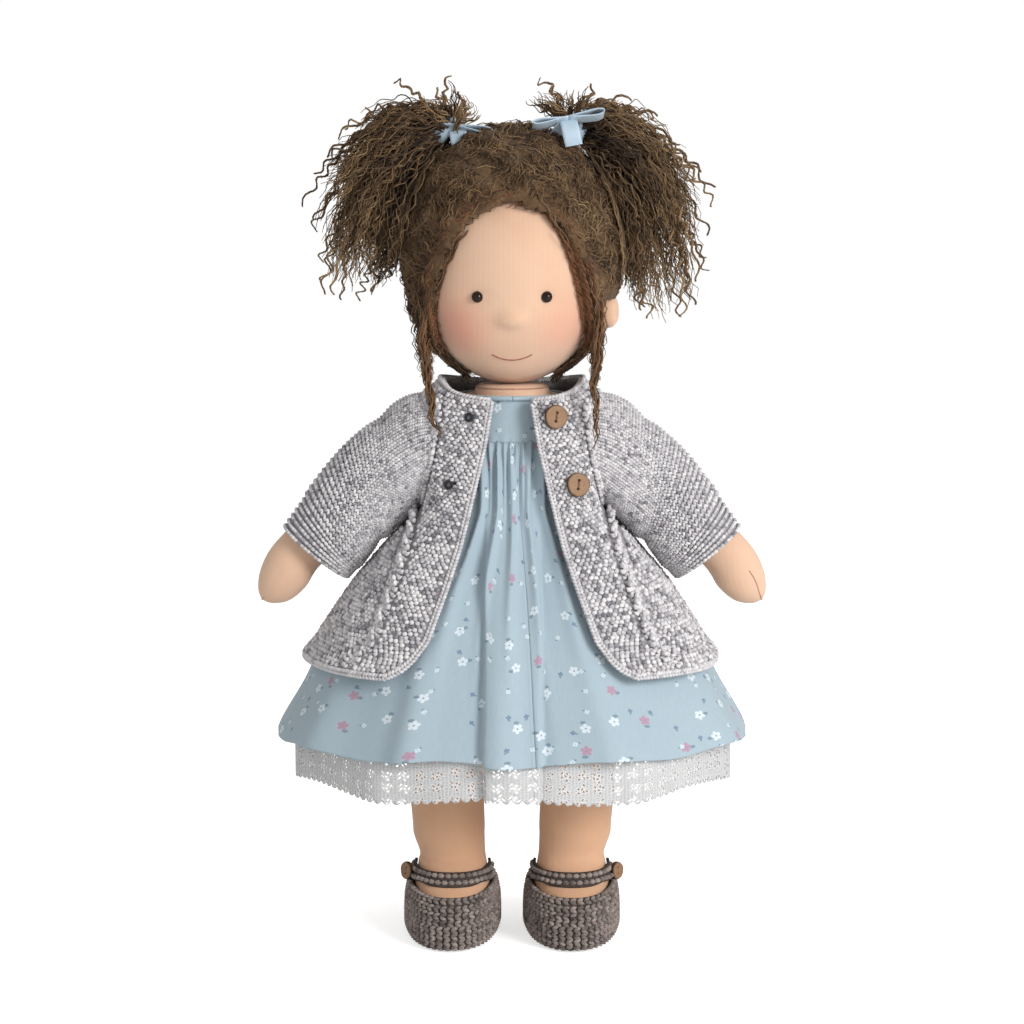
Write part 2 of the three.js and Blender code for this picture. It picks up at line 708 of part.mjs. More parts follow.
function sleeveRing(share, inset, side) {
  const low = new THREE.Vector2(lerp(armholeX, cuffInnerX, share), lerp(armpitHeight, cuffInnerZ, share));
  const high = sleeveCrown.getPoint(share);
  const centre = low.clone().lerp(high, 0.5);
  const up = high.clone().sub(low).multiplyScalar(0.5);
  const long = up.length();
  up.normalize();
  const deep = lerp(sleeveRootRadius, cuffHalfDepth, share) - inset;
  const fold = sleeveFoldDepth * Math.sin(Math.PI * share) ** 2;
  return turns(bodySteps, (angle) => {
    const wave = fold * Math.cos(angle * 3 + share * sleeveFoldTurns);
    const rise = (long - inset - fold + wave) * Math.cos(angle);
    return new THREE.Vector3(
      side * (centre.x + up.x * rise),
      -(deep - fold + wave) * Math.sin(angle),
      centre.y + up.y * rise,
    );
  });
}

const wrist = {
  x: lerp(cuffInnerX, cuffOuterX, wristAcrossShare),
  z: lerp(cuffInnerZ, cuffOuterZ, wristUpShare),
};
const armRoot = trunkHalfWidth + jerseyEase;

function armRing(x, z, radius, tilt, side) {
  return turns(bodySteps, (angle) => new THREE.Vector3(
    side * (x + radius * Math.cos(angle) * Math.sin(tilt)),
    -radius * armDepthShare * Math.sin(angle),
    z + radius * Math.cos(angle) * Math.cos(tilt),
  ));
}

const armSlant = Math.atan2(shoulderHeight - handTipZ, handTipX - armholeX);
for (const [side, name] of [[-1, 'left'], [1, 'right']]) {
  const rings = armShares.map(([across, down, thinning, slant]) => armRing(
    lerp(armRoot, wrist.x, across),
    lerp(shoulderHeight, wrist.z, down),
    lerp(upperArmRadius, wristRadius, thinning),
    armSlant * slant,
    side,
  ));
  for (const [across, down, swell] of handShares) {
    rings.push(armRing(lerp(wrist.x, handTipX, across), lerp(wrist.z, handTipZ, down), handRadius * swell,
      armSlant, side));
  }
  rings.push(armRing(handTipX, handTipZ, handTipRadius, armSlant, side));
  add(`arm_${name}`, geometryOf(solidOf(ringBody(rings))), finishes.jersey);

  const rooted = (inset) => {
    const inward = new THREE.Vector3(-side * sleeveRootDepth, 0, 0);
    const first = sleeveRing(0, inset, side).map((point) => point.add(inward));
    return [first, ...sleeveRowShares.map((share) => sleeveRing(share, inset, side))];
  };
  add(`sleeve_${name}`, wallBody(rooted(0), rooted(knitThickness), true), finishes.knit);
}

// Garment outline: half-width and half-depth of the cardigan at each height, which the skirt follows inside
const chestHalfWidth = armholeX - seat;
const layer = knitThickness + knitEase;
const sideAtCuff = chestHalfWidth + (armpitHeight - cuffInnerZ) * sleeveSlope * sleeveClearShare;
const garmentRows = [
  [skirtHem, skirtHemHalfWidth + layer, skirtHemHalfDepth + layer, hemRoundness],
  [cardiganHem, cardiganHemHalfWidth, cardiganHemHalfDepth, cardiganHemRoundness],
  [cuffInnerZ, sideAtCuff, cuffLevelHalfDepth, cuffLevelRoundness],
  [armpitHeight, chestHalfWidth, cardiganArmpitHalfDepth, armpitRoundness],
  [shoulderHeight, chestHalfWidth, cardiganChestHalfDepth, chestRoundness],
  [shoulderHeight + sleeveRootRadius, chestHalfWidth,
    lerp(cardiganNeckHalfDepth, cardiganChestHalfDepth, shoulderDepthShare), shoulderRoundness],
  [cardiganNeckTop, cardiganNeckHalfWidth, cardiganNeckHalfDepth, cardiganHemRoundness],
];
function garment(z, room = 0) {
  const [, a, b, roundness] = readTable(garmentRows, z);
  return { a: a + room, b: b + room, roundness };
}

// Opened armholes, shared by the cardigan's body and the dress
const armholeFromX = trunkHalfWidth - sleeveRootDepth;
function cutArmholes(solid) {
  return [-1, 1].reduce((rest, side) => rest.subtract(
    rodAlongX(sleeveRootRadius + seat, overrun * 2, side * (armholeFromX + overrun), 0, shoulderHeight),
  ), solid);
}

// Dress: a yoke with a bound neckline, and a skirt gathered to it
const yokeTop = necklineHeight - bindingRadius - seat;
const yokeRoom = jerseyEase + cottonThickness;
let yoke = solidOf(trunkLayer(yokeSeamHeight + seat, yokeTop, cordSides / 2, yokeRoom));
yoke = yoke.subtract(solidOf(trunkLayer(yokeSeamHeight - knitEase, trunkTop, cordSides, jerseyEase)));
add('dress_yoke', geometryOf(cutArmholes(yoke).subtract(neckBore)), finishes.dress);

const bindingCurve = new THREE.CatmullRomCurve3(turns(smallSteps, (angle) =>
  levelPoint(angle, necklineHalfWidth, necklineHalfDepth, necklineHeight)), true);
const bindingSection = new THREE.Shape().absarc(0, 0, bindingRadius, 0, Math.PI * 2);
const bindingGeometry = new THREE.ExtrudeGeometry(bindingSection,
  { steps: bodySteps, extrudePath: bindingCurve, bevelEnabled: false, curveSegments: 3 });
add('dress_neck_binding', bindingGeometry, finishes.dress);

function skirtSection(z) {
  const { a, b } = garment(z, -layer);
  const waist = smooth(z, yokeSeamHeight - sleeveRootRadius / 2, yokeSeamHeight);
  const trunkHere = trunkSection(z);
  const fullness = skirtGatherDepth + cottonThickness + jerseyEase * 2;
  return { a, b: lerp(b, trunkHere.b + fullness, waist) };
}

const lowShare = (z) => 1 - smooth(z, skirtHem, armpitHeight - skirtFoldStart);

// The folds run inward from the outline. They deepen from the armpits down, and gathers add to them in front
// and behind.
function foldAt(angle, z, depth, gather, count) {
  const wave = 0.5 - 0.5 * Math.cos(count * angle + skirtFoldShift * Math.sin(2 * angle));
  const low = lowShare(z);
  return wave * (depth * low + gather * (1 - low) * Math.cos(angle) ** 2);
}

function skirtPoint(angle, z, inset) {
  const { a, b } = skirtSection(z);
  const fold = foldAt(angle, z, skirtFoldDepth, skirtGatherDepth, skirtFoldCount) + inset;
  return levelPoint(angle, a - fold, b - fold, z);
}

const skirtRows = [
  ...steps(6, (share) => lerp(skirtHem, armpitHeight, share)),
  ...steps(2, (share) => lerp(armpitHeight, yokeSeamHeight - seat, share)).slice(1),
];
const skirtGrid = (inset) => skirtRows.map((z) => turns(clothSteps, (angle) => skirtPoint(angle, z, inset)));
const skirt = solidOf(wallBody(skirtGrid(0), skirtGrid(cottonThickness), true));
add('dress_skirt', geometryOf(cutArmholes(skirt)), finishes.dress);

// Petticoat: gathered on an elastic under the dress, with a scalloped border below the skirt's hem
function petticoatPoint(angle, z, inset) {
  const level = Math.max(z, skirtHem);
  const { a, b } = skirtSection(level);
  const skirtFold = lerp(skirtGatherDepth, skirtFoldDepth, lowShare(level));
  const own = petticoatFoldDepth * lowShare(level) * (0.5 - 0.5 * Math.cos(petticoatFoldCount * angle));
  const all = petticoatRoom + cottonThickness + skirtFold + own + inset;
  const trunkHere = trunkSection(z);
  const least = jerseyEase * 2 + elasticThickness + cottonThickness - inset;
  return levelPoint(angle, Math.max(a - all, trunkHere.a + least), Math.max(b - all, trunkHere.b + least), z);
}

const petticoatRows = steps(5, (share) => lerp(petticoatBorderTop + seat, petticoatWaist, share));
const petticoatGrid = (inset) => petticoatRows.map((z) =>
  turns(petticoatFoldCount * 4, (angle) => petticoatPoint(angle, z, inset)));
add('petticoat', wallBody(petticoatGrid(0), petticoatGrid(cottonThickness), true), finishes.petticoat);

const borderColumns = scallopCount * 2;
function borderGrid(inset) {
  return [0, 1].map((share) => turns(borderColumns, (angle) => {
    const edge = petticoatHem + scallopDepth * Math.abs(Math.cos((scallopCount * angle) / 2));
    return petticoatPoint(angle, lerp(edge, petticoatBorderTop, share), inset);
  }));
}
add('petticoat_border', wallBody(borderGrid(0), borderGrid(cottonThickness), true), finishes.petticoat);

const elasticLevels = [petticoatWaist - elasticHeight, petticoatWaist];
const elasticGrid = (room) => elasticLevels.map((z) => turns(bodySteps, (angle) => {
  const here = trunkSection(z);
  return levelPoint(angle, here.a + room, here.b + room, z);
}));
add('petticoat_elastic', wallBody(elasticGrid(jerseyEase + elasticThickness), elasticGrid(jerseyEase), true),
  finishes.elastic);

// Cardigan: two fronts and a back in one piece of knitting, open at the front
function openingX(z) {
  const share = (z - cardiganHem) / (cardiganNeckFront - cardiganHem);
  return lerp(frontOpeningTop, frontOpeningHem, readTable(openingShares, share)[1]);
}

function angleOf(x, z, room) {
  const { a, roundness } = garment(z, room);
  return Math.asin(Math.min(1, x / a) ** (roundness / 2));
}

function garmentPoint(angle, z, room) {
  const { a, b, roundness } = garment(z, room);
  return levelPoint(angle, a, b, z, roundness);
}

const neckEdge = (angle) => {
  const side = Math.sin(angle) ** 2;
  return lerp(Math.cos(angle) > 0 ? cardiganNeckFront : cardiganNeckBack, cardiganNeckTop, side);
};

function cardiganGrid(columns, fromX, toX, room) {
  return cardiganRowShares.map((share) => {
    const level = lerp(cardiganHem, cardiganNeckFront, share);
    return steps(columns, (across) => {
      const start = angleOf(openingX(level) + fromX, level, 0);
      const end = toX === null ? 2 * Math.PI - start : angleOf(openingX(level) + toX, level, 0);
      const angle = lerp(start, end, across);
      const z = lerp(cardiganHem, neckEdge(angle), share);
      return garmentPoint(angle, z, room);
    });
  });
}

const cardiganBody = solidOf(wallBody(cardiganGrid(36, bandWidth + seat, null, 0),
  cardiganGrid(36, bandWidth + seat, null, -knitThickness), false));
add('cardigan_body', geometryOf(cutArmholes(cardiganBody)), finishes.knit);

function frontBand(side) {
  const grid = (room) => cardiganGrid(3, 0, bandWidth, room)
    .map((row) => row.map((p) => new THREE.Vector3(side * p.x, p.y, p.z)));
  return solidOf(wallBody(grid(bandProud), grid(-knitThickness), false));
}

// The place and the outward direction of a front at a given x and z.
function frontPlace(x, z, side) {
  const at = (dx, dz) => garmentPoint(angleOf(x + dx, z + dz, bandProud), z + dz, bandProud);
  const place = at(0, 0);
  const across = at(seat, 0).sub(at(-seat, 0));
  const up = at(0, seat).sub(at(0, -seat));
  const outward = new THREE.Vector3().crossVectors(across, up).normalize();
  if (outward.y > 0) outward.negate();
  return {
    place: new THREE.Vector3(side * place.x, place.y, place.z),
    outward: new THREE.Vector3(side * outward.x, outward.y, outward.z),
  };
}

const facing = (outward) => new THREE.Quaternion().setFromUnitVectors(new THREE.Vector3(0, 0, 1), outward);

let buttonholeBand = frontBand(-1);
for (const { x, z } of buttonPlaces) {
  const { place, outward } = frontPlace(x, z, -1);
  const slot = new THREE.BoxGeometry(buttonholeLength, buttonholeWidth, overrun)
    .applyQuaternion(facing(outward)).translate(...place.toArray());
  buttonholeBand = buttonholeBand.subtract(solidOf(slot));
}
add('buttonhole_band', geometryOf(buttonholeBand), finishes.knit);
add('button_band', geometryOf(frontBand(1)), finishes.knit);

// Buttons: turned wooden discs with a dished face and two holes, each with its thread
const buttonProfile = [
  new THREE.Vector2(0, 0),
  new THREE.Vector2(buttonRadius * buttonBaseShare, 0),
  new THREE.Vector2(buttonRadius, buttonThickness * buttonWaistShare),
  new THREE.Vector2(buttonRadius * buttonRimShares[0], buttonThickness),
  new THREE.Vector2(buttonRadius * buttonRimShares[1], buttonThickness),
  new THREE.Vector2(buttonRadius * buttonRimShares[2], buttonThickness - buttonDish),
  new THREE.Vector2(0, buttonThickness - buttonDish),
];
for (const { name, x, z } of buttonPlaces) {
  const { place, outward } = frontPlace(x, z, 1);
  const seatPlace = place.clone().addScaledVector(outward, wallRoom);
  const settle = (geometry) => geometry.applyQuaternion(facing(outward)).translate(...seatPlace.toArray());
  let disc = solidOf(new THREE.LatheGeometry(buttonProfile, 16).rotateX(Math.PI / 2));
  const through = (radius, way, from, to) => solidOf(new THREE.CylinderGeometry(radius, radius, to - from, 8)
    .rotateX(Math.PI / 2).translate(0, way * buttonHoleSpread, (from + to) / 2));
  for (const way of [-1, 1]) {
    disc = disc.subtract(through(buttonHoleRadius, way, -overrun, overrun));
  }
  add(`button_${name}`, settle(geometryOf(disc)), finishes.wood);

  const faceLevel = buttonThickness - buttonDish + seat;
  let thread = block(threadRadius * 2, (buttonHoleSpread + threadRadius) * 2, threadRadius * 2,
    0, 0, faceLevel + threadRadius);
  for (const way of [-1, 1]) {
    thread = thread.add(through(threadRadius, way, 0, faceLevel + threadRadius));
  }
  add(`button_thread_${name}`, settle(geometryOf(thread)), finishes.thread);
}

// Neckband: a rolled edge along the cardigan's neck
const neckbandStart = angleOf(frontOpeningTop, cardiganNeckFront, 0);
const neckbandPoints = steps(bodySteps, (share) => {
  const angle = lerp(neckbandStart, 2 * Math.PI - neckbandStart, share);
  const z = neckEdge(angle);
  return garmentPoint(angle, z, -knitThickness / 2).add(new THREE.Vector3(0, 0, neckbandRadius + seat));
});
add('neckband', taperedRod(new THREE.CatmullRomCurve3(neckbandPoints), () => neckbandRadius,
  bodySteps, cordSides), finishes.knit);

// Legs: stuffed, with the foot turned forward
function footSection(z) {
  const share = (z - soleThickness - seat) / instepHeight;
  const ankle = [1, ankleRadius / footReach, ankleRadius / footHalfWidth, ankleRadius / heelReach];
  const [, front, width, back] = readTable([...footSectionShares, ankle], share);
  return { front: footReach * front, a: footHalfWidth * width, back: heelReach * back };
}

const legLean = (z) => lerp(footSpread, hipSpread, smooth(z, instepHeight, hipHeight));

function footPoint(angle, z, room, side) {
  const { front, a, back } = footSection(z);
  return levelPoint(angle, a + room, front + room, z, footRoundness, side * legLean(z), back + room);
}

const footRows = [...footSectionShares.map(([share]) => soleThickness + seat + share * instepHeight),
  soleThickness + seat + instepHeight];
const legRowShares = [[calfShare, calfRadius], [1, thighRadius]];
for (const [side, name] of [[-1, 'left'], [1, 'right']]) {
  const rings = footRows.map((z) => turns(bodySteps, (angle) => footPoint(angle, z, 0, side)));
  for (const [share, radius] of legRowShares) {
    const z = lerp(footRows.at(-1), hipHeight, share);
    rings.push(turns(bodySteps, (angle) => levelPoint(angle, radius, radius, z, 2, side * legLean(z))));
  }
  for (const lift of thighCrownShares) {
    const z = hipHeight + thighRadius * Math.sin((lift * Math.PI) / 2);
    const radius = thighRadius * Math.cos((lift * Math.PI) / 2);
    rings.push(turns(bodySteps, (angle) => levelPoint(angle, radius, radius, z, 2, side * hipSpread)));
  }
  add(`leg_${name}`, ringBody(rings), finishes.jersey);

  const soleTop = soleThickness;
  const widest = footRows[footSectionShares.findIndex(([, front]) => front === 1)];
  const soleRows = soleRoundingShares.map(([share, out]) => turns(bodySteps, (angle) => {
    const point = footPoint(angle, widest, soleEdgeProud - soleRounding * (1 - out), side);
    point.z = soleTop * share;
    return point;
  }));
  add(`shoe_sole_${name}`, ringBody(soleRows), finishes.crochet);

  const upperBottom = soleTop + seat;
  const edge = (angle) =>
    lerp(Math.cos(angle) > 0 ? vampHeight : heelHeight, shoeSideHeight, Math.sin(angle) ** 2);
  const footRoom = solidOf(ringBody(footRows.map((z) =>
    turns(bodySteps, (angle) => footPoint(angle, z, seat, side)))));
  const upperGrid = (room) => steps(4, (share) => turns(bodySteps, (angle) => {
    const z = lerp(upperBottom, edge(angle), share);
    const point = footPoint(angle, Math.max(z, widest), room, side);
    point.z = z;
    return point;
  }));
  const upper = solidOf(wallBody(upperGrid(crochetThickness + seat), upperGrid(-crochetThickness), true));
  add(`shoe_upper_${name}`, geometryOf(upper.subtract(footRoom)), finishes.crochet);

  const reach = THREE.MathUtils.degToRad(strapReachDeg);
  const strapGrid = (room) => [0, 1].map((share) => steps(smallSteps + 2, (across) => {
    const angle = lerp(-reach, reach, across);
    const ends = smooth(Math.abs(angle), reach * strapTurnShares[0], reach * strapTurnShares[1]);
    const low = lerp(strapBottom, edge(angle) + seat, ends);
    return footPoint(angle, lerp(low, strapTop, share), room, side);
  }));
  const strap = wallBody(strapGrid(seat + strapThickness), strapGrid(seat), false);
  add(`shoe_strap_${name}`, strap, finishes.crochet);

  const strapSide = footPoint((Math.PI / 2) * side, shoeButtonHeight, wallRoom + seat + strapThickness, side);
  const shoeButton = new THREE.LatheGeometry(shoeButtonShares.map(([out, up]) =>
    new THREE.Vector2(shoeButtonRadius * out, shoeButtonThickness * up)), smallSteps)
    .rotateZ((-side * Math.PI) / 2)
    .translate(strapSide.x, -shoeButtonForward, shoeButtonHeight);
  add(`shoe_button_${name}`, geometryOf(solidOf(shoeButton)), finishes.wood);
}

export default doll;
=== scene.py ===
import math

import bmesh
import bpy
import numpy as np
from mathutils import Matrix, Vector


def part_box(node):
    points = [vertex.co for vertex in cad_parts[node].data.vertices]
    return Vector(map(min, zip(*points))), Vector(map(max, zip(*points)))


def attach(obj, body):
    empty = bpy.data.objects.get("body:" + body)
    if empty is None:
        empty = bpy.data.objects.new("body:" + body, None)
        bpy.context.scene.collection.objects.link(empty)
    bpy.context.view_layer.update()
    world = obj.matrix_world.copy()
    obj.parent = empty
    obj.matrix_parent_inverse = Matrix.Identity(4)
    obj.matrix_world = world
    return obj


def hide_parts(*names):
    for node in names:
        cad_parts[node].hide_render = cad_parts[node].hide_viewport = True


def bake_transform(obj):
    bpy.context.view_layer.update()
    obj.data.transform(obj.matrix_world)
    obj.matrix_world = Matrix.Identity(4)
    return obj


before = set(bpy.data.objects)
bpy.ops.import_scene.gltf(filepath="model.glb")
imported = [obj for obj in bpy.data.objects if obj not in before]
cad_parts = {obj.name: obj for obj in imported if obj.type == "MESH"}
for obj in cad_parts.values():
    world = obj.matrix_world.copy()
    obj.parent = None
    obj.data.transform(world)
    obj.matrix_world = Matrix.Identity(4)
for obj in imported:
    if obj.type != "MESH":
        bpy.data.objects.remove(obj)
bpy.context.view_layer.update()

# Stage
# A pale floor under a white background, three soft lights and the camera at the photograph's angle: a little
# above the head's height, looking slightly down.
CAMERA_PLACE, CAMERA_PITCH, CAMERA_FOCUS = (0.0, -1.118, 0.343), 7.233, 2388 / 1024
FLOOR_SIZE = 2600
WHITE = (1, 1, 1, 1)
LIGHTS = {"key": ((0.98, -1.1, 0.72), 0.65, 17.4), "fill": ((-1.0, -1.2, 0.6), 1.2, 1.4),
          "top": ((0.2, 0.5, 1.6), 1.0, 4.5)}


def linear(colour):
    """The linear colour of an sRGB hex value."""
    parts = [int(colour[i:i + 2], 16) / 255 for i in (1, 3, 5)]
    return (*(c / 12.92 if c <= 0.04045 else ((c + 0.055) / 1.055) ** 2.4 for c in parts), 1.0)


def set_inputs(node, values, named):
    """Links or sets a node's inputs: values in order, Base_Color and the like by name, _6 by number."""
    for key, value in [*enumerate(values), *named.items()]:
        if isinstance(key, str):
            key = int(key[1:]) if key[1:].isdigit() else key.replace("_", " ")
        if isinstance(value, bpy.types.NodeSocket):
            node.id_data.links.new(value, node.inputs[key])
        else:
            is_colour = isinstance(value, str) and value.startswith("#")
            node.inputs[key].default_value = linear(value) if is_colour else value


def add_node(tree, kind, *values, get=0, stops=(), **named):
    """Adds a node and returns one output. Lower-case names are its settings and the others its inputs."""
    made = tree.nodes.new(kind if "Node" in kind else "ShaderNode" + kind)
    for key in [key for key in named if key[0].islower()]:
        setattr(made, key, named.pop(key))
    set_inputs(made, values, named)
    if stops:
        for element, (place, colour) in zip(made.color_ramp.elements, (stops[0], stops[-1])):
            element.position, element.color = place, linear(colour)
        for place, colour in stops[1:-1]:
            made.color_ramp.elements.new(place).color = linear(colour)
    return made.outputs[get]


def new_material(name):
    made = bpy.data.materials.new(name)
    made.use_nodes = True
    return made, made.node_tree


def surfaced(material, **inputs):
    set_inputs(material.node_tree.nodes["Principled BSDF"], (), inputs)
    return material


def new_mesh(name, points, faces, material=None, smooth=True, uv=None):
    """A mesh object from points in millimetres; uv is one pair for each point, in millimetres too."""
    data = bpy.data.meshes.new(name)
    points = np.asarray(points, float).reshape(-1, 3)
    data.from_pydata((points * 0.001).tolist(), [], [list(map(int, f)) for f in faces])
    if uv is not None:
        layer = data.uv_layers.new(name="UVMap")
        corners = np.zeros(len(data.loops), int)
        data.loops.foreach_get("vertex_index", corners)
        layer.data.foreach_set("uv", (np.asarray(uv, float)[corners] * 0.001).ravel())
    data.polygons.foreach_set("use_smooth", [smooth] * len(data.polygons))
    data.update()
    made = bpy.data.objects.new(name, data)
    scene.collection.objects.link(made)
    if material:
        data.materials.append(material)
    return made


scene = bpy.context.scene
camera_data = bpy.data.cameras.new("camera")
camera_data.sensor_width = 36
camera_data.lens = 36 * CAMERA_FOCUS
camera_data.clip_end = 20
camera = bpy.data.objects.new("camera", camera_data)
camera.location = CAMERA_PLACE
camera.rotation_euler = (math.radians(90 - CAMERA_PITCH), 0, 0)
scene.collection.objects.link(camera)
scene.camera = camera
scene.view_settings.view_transform = "Standard"

backdrop, tree = new_material("floor")
seen = add_node(tree, "LightPath", get="Is Camera Ray")
surfaced(backdrop, Roughness=0.9, Specular_IOR_Level=0.1, Base_Color="#f6f6f6", Emission_Color=WHITE,
         Emission_Strength=add_node(tree, "Math", seen, 0.62, operation="MULTIPLY"))
corners = [(x * FLOOR_SIZE, y * FLOOR_SIZE, 0) for x, y in ((-1, -1), (1, -1), (1, 1), (-1, 1))]
floor = new_mesh("floor", corners, [(0, 1, 2, 3)], backdrop, smooth=False)

world = bpy.data.worlds.new("world")
world.use_nodes = True
scene.world = world
tree = world.node_tree
seen = add_node(tree, "LightPath", get="Is Camera Ray")
strength = add_node(tree, "Mix", seen, _2=0.5, _3=1.0, data_type="FLOAT")
set_inputs(tree.nodes["Background"], (WHITE, strength), {})

for name, (place, size, power) in LIGHTS.items():
    data = bpy.data.lights.new(name, "AREA")
    data.shape = "DISK"
    data.size = size
    data.energy = power
    light = bpy.data.objects.new(name, data)
    light.location = place
    light.rotation_euler = (Vector((0, 0, 0.2)) - Vector(place)).to_track_quat("-Z", "Y").to_euler()
    scene.collection.objects.link(light)

# Skin
# Head, neck, ears, arms and legs are cotton jersey pulled tight over wool stuffing. The knit's fine ribs run
# up and down, the cheeks are rubbed with red wax crayon, and the nose is a small ball under the cloth.
JERSEY, JERSEY_SHADE = "#e2c0a5", "#d6ac8f"
# Each mark: centre in metres, radius, strength and tint. The crayon blush is real. The left cheek's blush is
# laid on stronger than the right's as painted shade for the side away from the key light.
BLUSH_AND_SHADE = [((-0.0275, -0.036, 0.287), 0.027, 0.76, "#d99580"), ((0.0275, -0.036, 0.287), 0.027, 0.52, "#d99580"),
         ((0.0, -0.048, 0.2935), 0.0075, 0.35, "#d9917c"), ((0.0, -0.041, 0.268), 0.012, 0.2, "#d99f88")]
HEAD_CENTRE, HEAD_TOP, HEAD_BOTTOM = 314.0, 371.0, 262.2
HEAD_MIDDLE = np.array([0, 0, HEAD_CENTRE])
HEAD_HALF = 43.5
NOSE_HEIGHT, NOSE_SIZE, NOSE_RISE = 294.0, 4.2, 2.6
# Each row: x, z, half-width, half-height, rise and how far round to the front it starts.
CHEEK_AND_SOCKET = [(24.0, 286.0, 15.0, 15.0, 1.6, 0), (15.6, 303.7, 7.5, 6.0, -1.1, 0.2)]
CHIN = (268.0, 13.0, 7.0, 1.2)
NECK_ROWS = [(233.5, 1.0), (234.5, 6), (240, 13.6), (246, 16.9), (252, 17.7), (258, 17.6), (260.4, 16.9),
             (261.9, 15.2)]


def jersey_material(name, light=JERSEY, shade=JERSEY_SHADE, blush_and_shade=()):
    """Matt cotton jersey with a soft sheen, whose fine ribs are a bump only, 0.56 mm apart."""
    made, tree = new_material(name)
    place = add_node(tree, "TexCoord", get="Object")
    cloud = add_node(tree, "TexNoise", Vector=place, Scale=38.0, Detail=4.0)
    colour = add_node(tree, "Mix", cloud, get=2, _6=light, _7=shade, data_type="RGBA")
    for centre, radius, strength, tint in blush_and_shade:
        away = add_node(tree, "VectorMath", place, centre, get="Value", operation="DISTANCE")
        near = add_node(tree, "MapRange", away, 0.0, radius, strength, 0.0, interpolation_type="SMOOTHERSTEP")
        colour = add_node(tree, "Mix", near, get=2, _6=colour, _7=tint, data_type="RGBA")
    ribs = add_node(tree, "TexWave", get="Fac", Vector=place, Scale=560.0, Distortion=1.5, Detail=2.0,
                    Detail_Scale=2.0, bands_direction="X")
    grain = add_node(tree, "TexNoise", Vector=place, Scale=1900.0, Detail=3.0)
    height = add_node(tree, "Math", ribs, grain, operation="ADD")
    return surfaced(made, Base_Color=colour, Roughness=0.78, Sheen_Weight=0.25, Sheen_Roughness=0.5,
                    Subsurface_Weight=0.06, Subsurface_Scale=0.004, Specular_IOR_Level=0.25,
                    Normal=add_node(tree, "Bump", Height=height, Strength=0.35, Distance=0.00022))


def head_points(direction, room=0.0):
    """The head's surface in the given unit directions from its centre, in millimetres."""
    d = np.asarray(direction, float)
    up = np.where(d[..., 2] > 0, HEAD_TOP - HEAD_CENTRE, HEAD_CENTRE - HEAD_BOTTOM)
    radius = 1 / np.sqrt((d[..., 0] / HEAD_HALF) ** 2 + (d[..., 1] / HEAD_HALF) ** 2 + (d[..., 2] / up) ** 2)
    p = d * radius[..., None] + HEAD_MIDDLE
    front = np.clip(-d[..., 1], 0, 1)
    for side in (-1, 1):
        for x, z, wide, high, rise, start in CHEEK_AND_SOCKET:
            away = np.hypot((p[..., 0] - side * x) / wide, (p[..., 2] - z) / high)
            p = p + d * (rise * np.exp(-away ** 2) * (front > start))[..., None]
    nose = np.hypot(p[..., 0] / NOSE_SIZE / 1.5, (p[..., 2] - NOSE_HEIGHT) / NOSE_SIZE)
    p = p + d * (NOSE_RISE * np.exp(-nose ** 2.6) * (front > 0.3))[..., None]
    height, wide, high, rise = CHIN
    chin = np.hypot(p[..., 0] / wide, (p[..., 2] - height) / high)
    p = p + d * (rise * np.exp(-chin ** 2) * (front > 0.3))[..., None]
    return p + d * room


def around(count):
    """Even angles once round."""
    return np.linspace(0, 2 * math.pi, count, endpoint=False)


def grid_faces(rows, columns, round_u=False):
    r, c = np.meshgrid(np.arange(rows - 1), np.arange(columns if round_u else columns - 1), indexing="ij")
    r, c = r.ravel() * columns, c.ravel()
    n = (c + 1) % columns
    return np.stack([r + c, r + n, r + columns + n, r + columns + c], 1)


def closed_faces(rows, columns):
    """Faces of a ringed form whose two end points follow the points of its rings."""
    faces = grid_faces(rows, columns, True).tolist()
    base = rows * columns
    for c in range(columns):
        n = (c + 1) % columns
        faces += [(base, n, c), (base + 1, base - columns + c, base - columns + n)]
    return faces


def ball_grid(rows, columns, point_at):
    """A closed ball of rows between two poles. point_at turns unit directions into points."""
    polar = np.linspace(0, math.pi, rows + 2)[1:-1]
    p, a = np.meshgrid(polar, around(columns), indexing="ij")
    d = np.stack([np.sin(p) * np.sin(a), -np.sin(p) * np.cos(a), -np.cos(p)], -1)
    ends = point_at(np.array([[0, 0, -1.0], [0, 0, 1.0]]))
    return np.vstack([point_at(d).reshape(-1, 3), ends]), closed_faces(rows, columns)


def remade(made, step):
    """Runs one bmesh step on an object's mesh."""
    bm = bmesh.new()
    bm.from_mesh(made.data)
    step(bm)
    bm.to_mesh(made.data)
    bm.free()


def ringed(name, rings, material, body):
    """A closed stuffed form through rings of points, its ends closed by fans."""
    rings = np.asarray(rings, float)
    ends = np.array([rings[0].mean(0), rings[-1].mean(0)])
    made = new_mesh(name, np.vstack([rings.reshape(-1, 3), ends]), closed_faces(*rings.shape[:2]), material)
    remade(made, lambda bm: bmesh.ops.recalc_face_normals(bm, faces=bm.faces))
    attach(made, body)
    return made


def spline_rows(table, count):
    """Rows read from a table along a smooth curve through it (Catmull-Rom in the row number)."""
    table = np.asarray(table, float)
    out = []
    for t in np.linspace(0, len(table) - 1, count):
        i = min(int(t), len(table) - 2)
        f = t - i
        p0, p1, p2, p3 = (table[max(0, min(len(table) - 1, i + k))] for k in (-1, 0, 1, 2))
        out.append(0.5 * (2 * p1 + (p2 - p0) * f + (2 * p0 - 5 * p1 + 4 * p2 - p3) * f * f
                          + (3 * p1 - p0 - 3 * p2 + p3) * f ** 3))
    return np.array(out)


def ease(value, low, high):
    t = np.clip((value - low) / (high - low), 0, 1)
    return t * t * (3 - 2 * t)


skin = jersey_material("jersey")
head = new_mesh("head_skin", *ball_grid(90, 130, head_points), jersey_material("jersey_face", blush_and_shade=BLUSH_AND_SHADE))
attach(head, "head")
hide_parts("head")

TURN = around(48)
neck = ringed("neck_skin", [[(r * math.sin(a), -r * math.cos(a), z) for a in TURN]
                            for z, r in spline_rows(NECK_ROWS, 24)], skin, "neck")
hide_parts("neck")

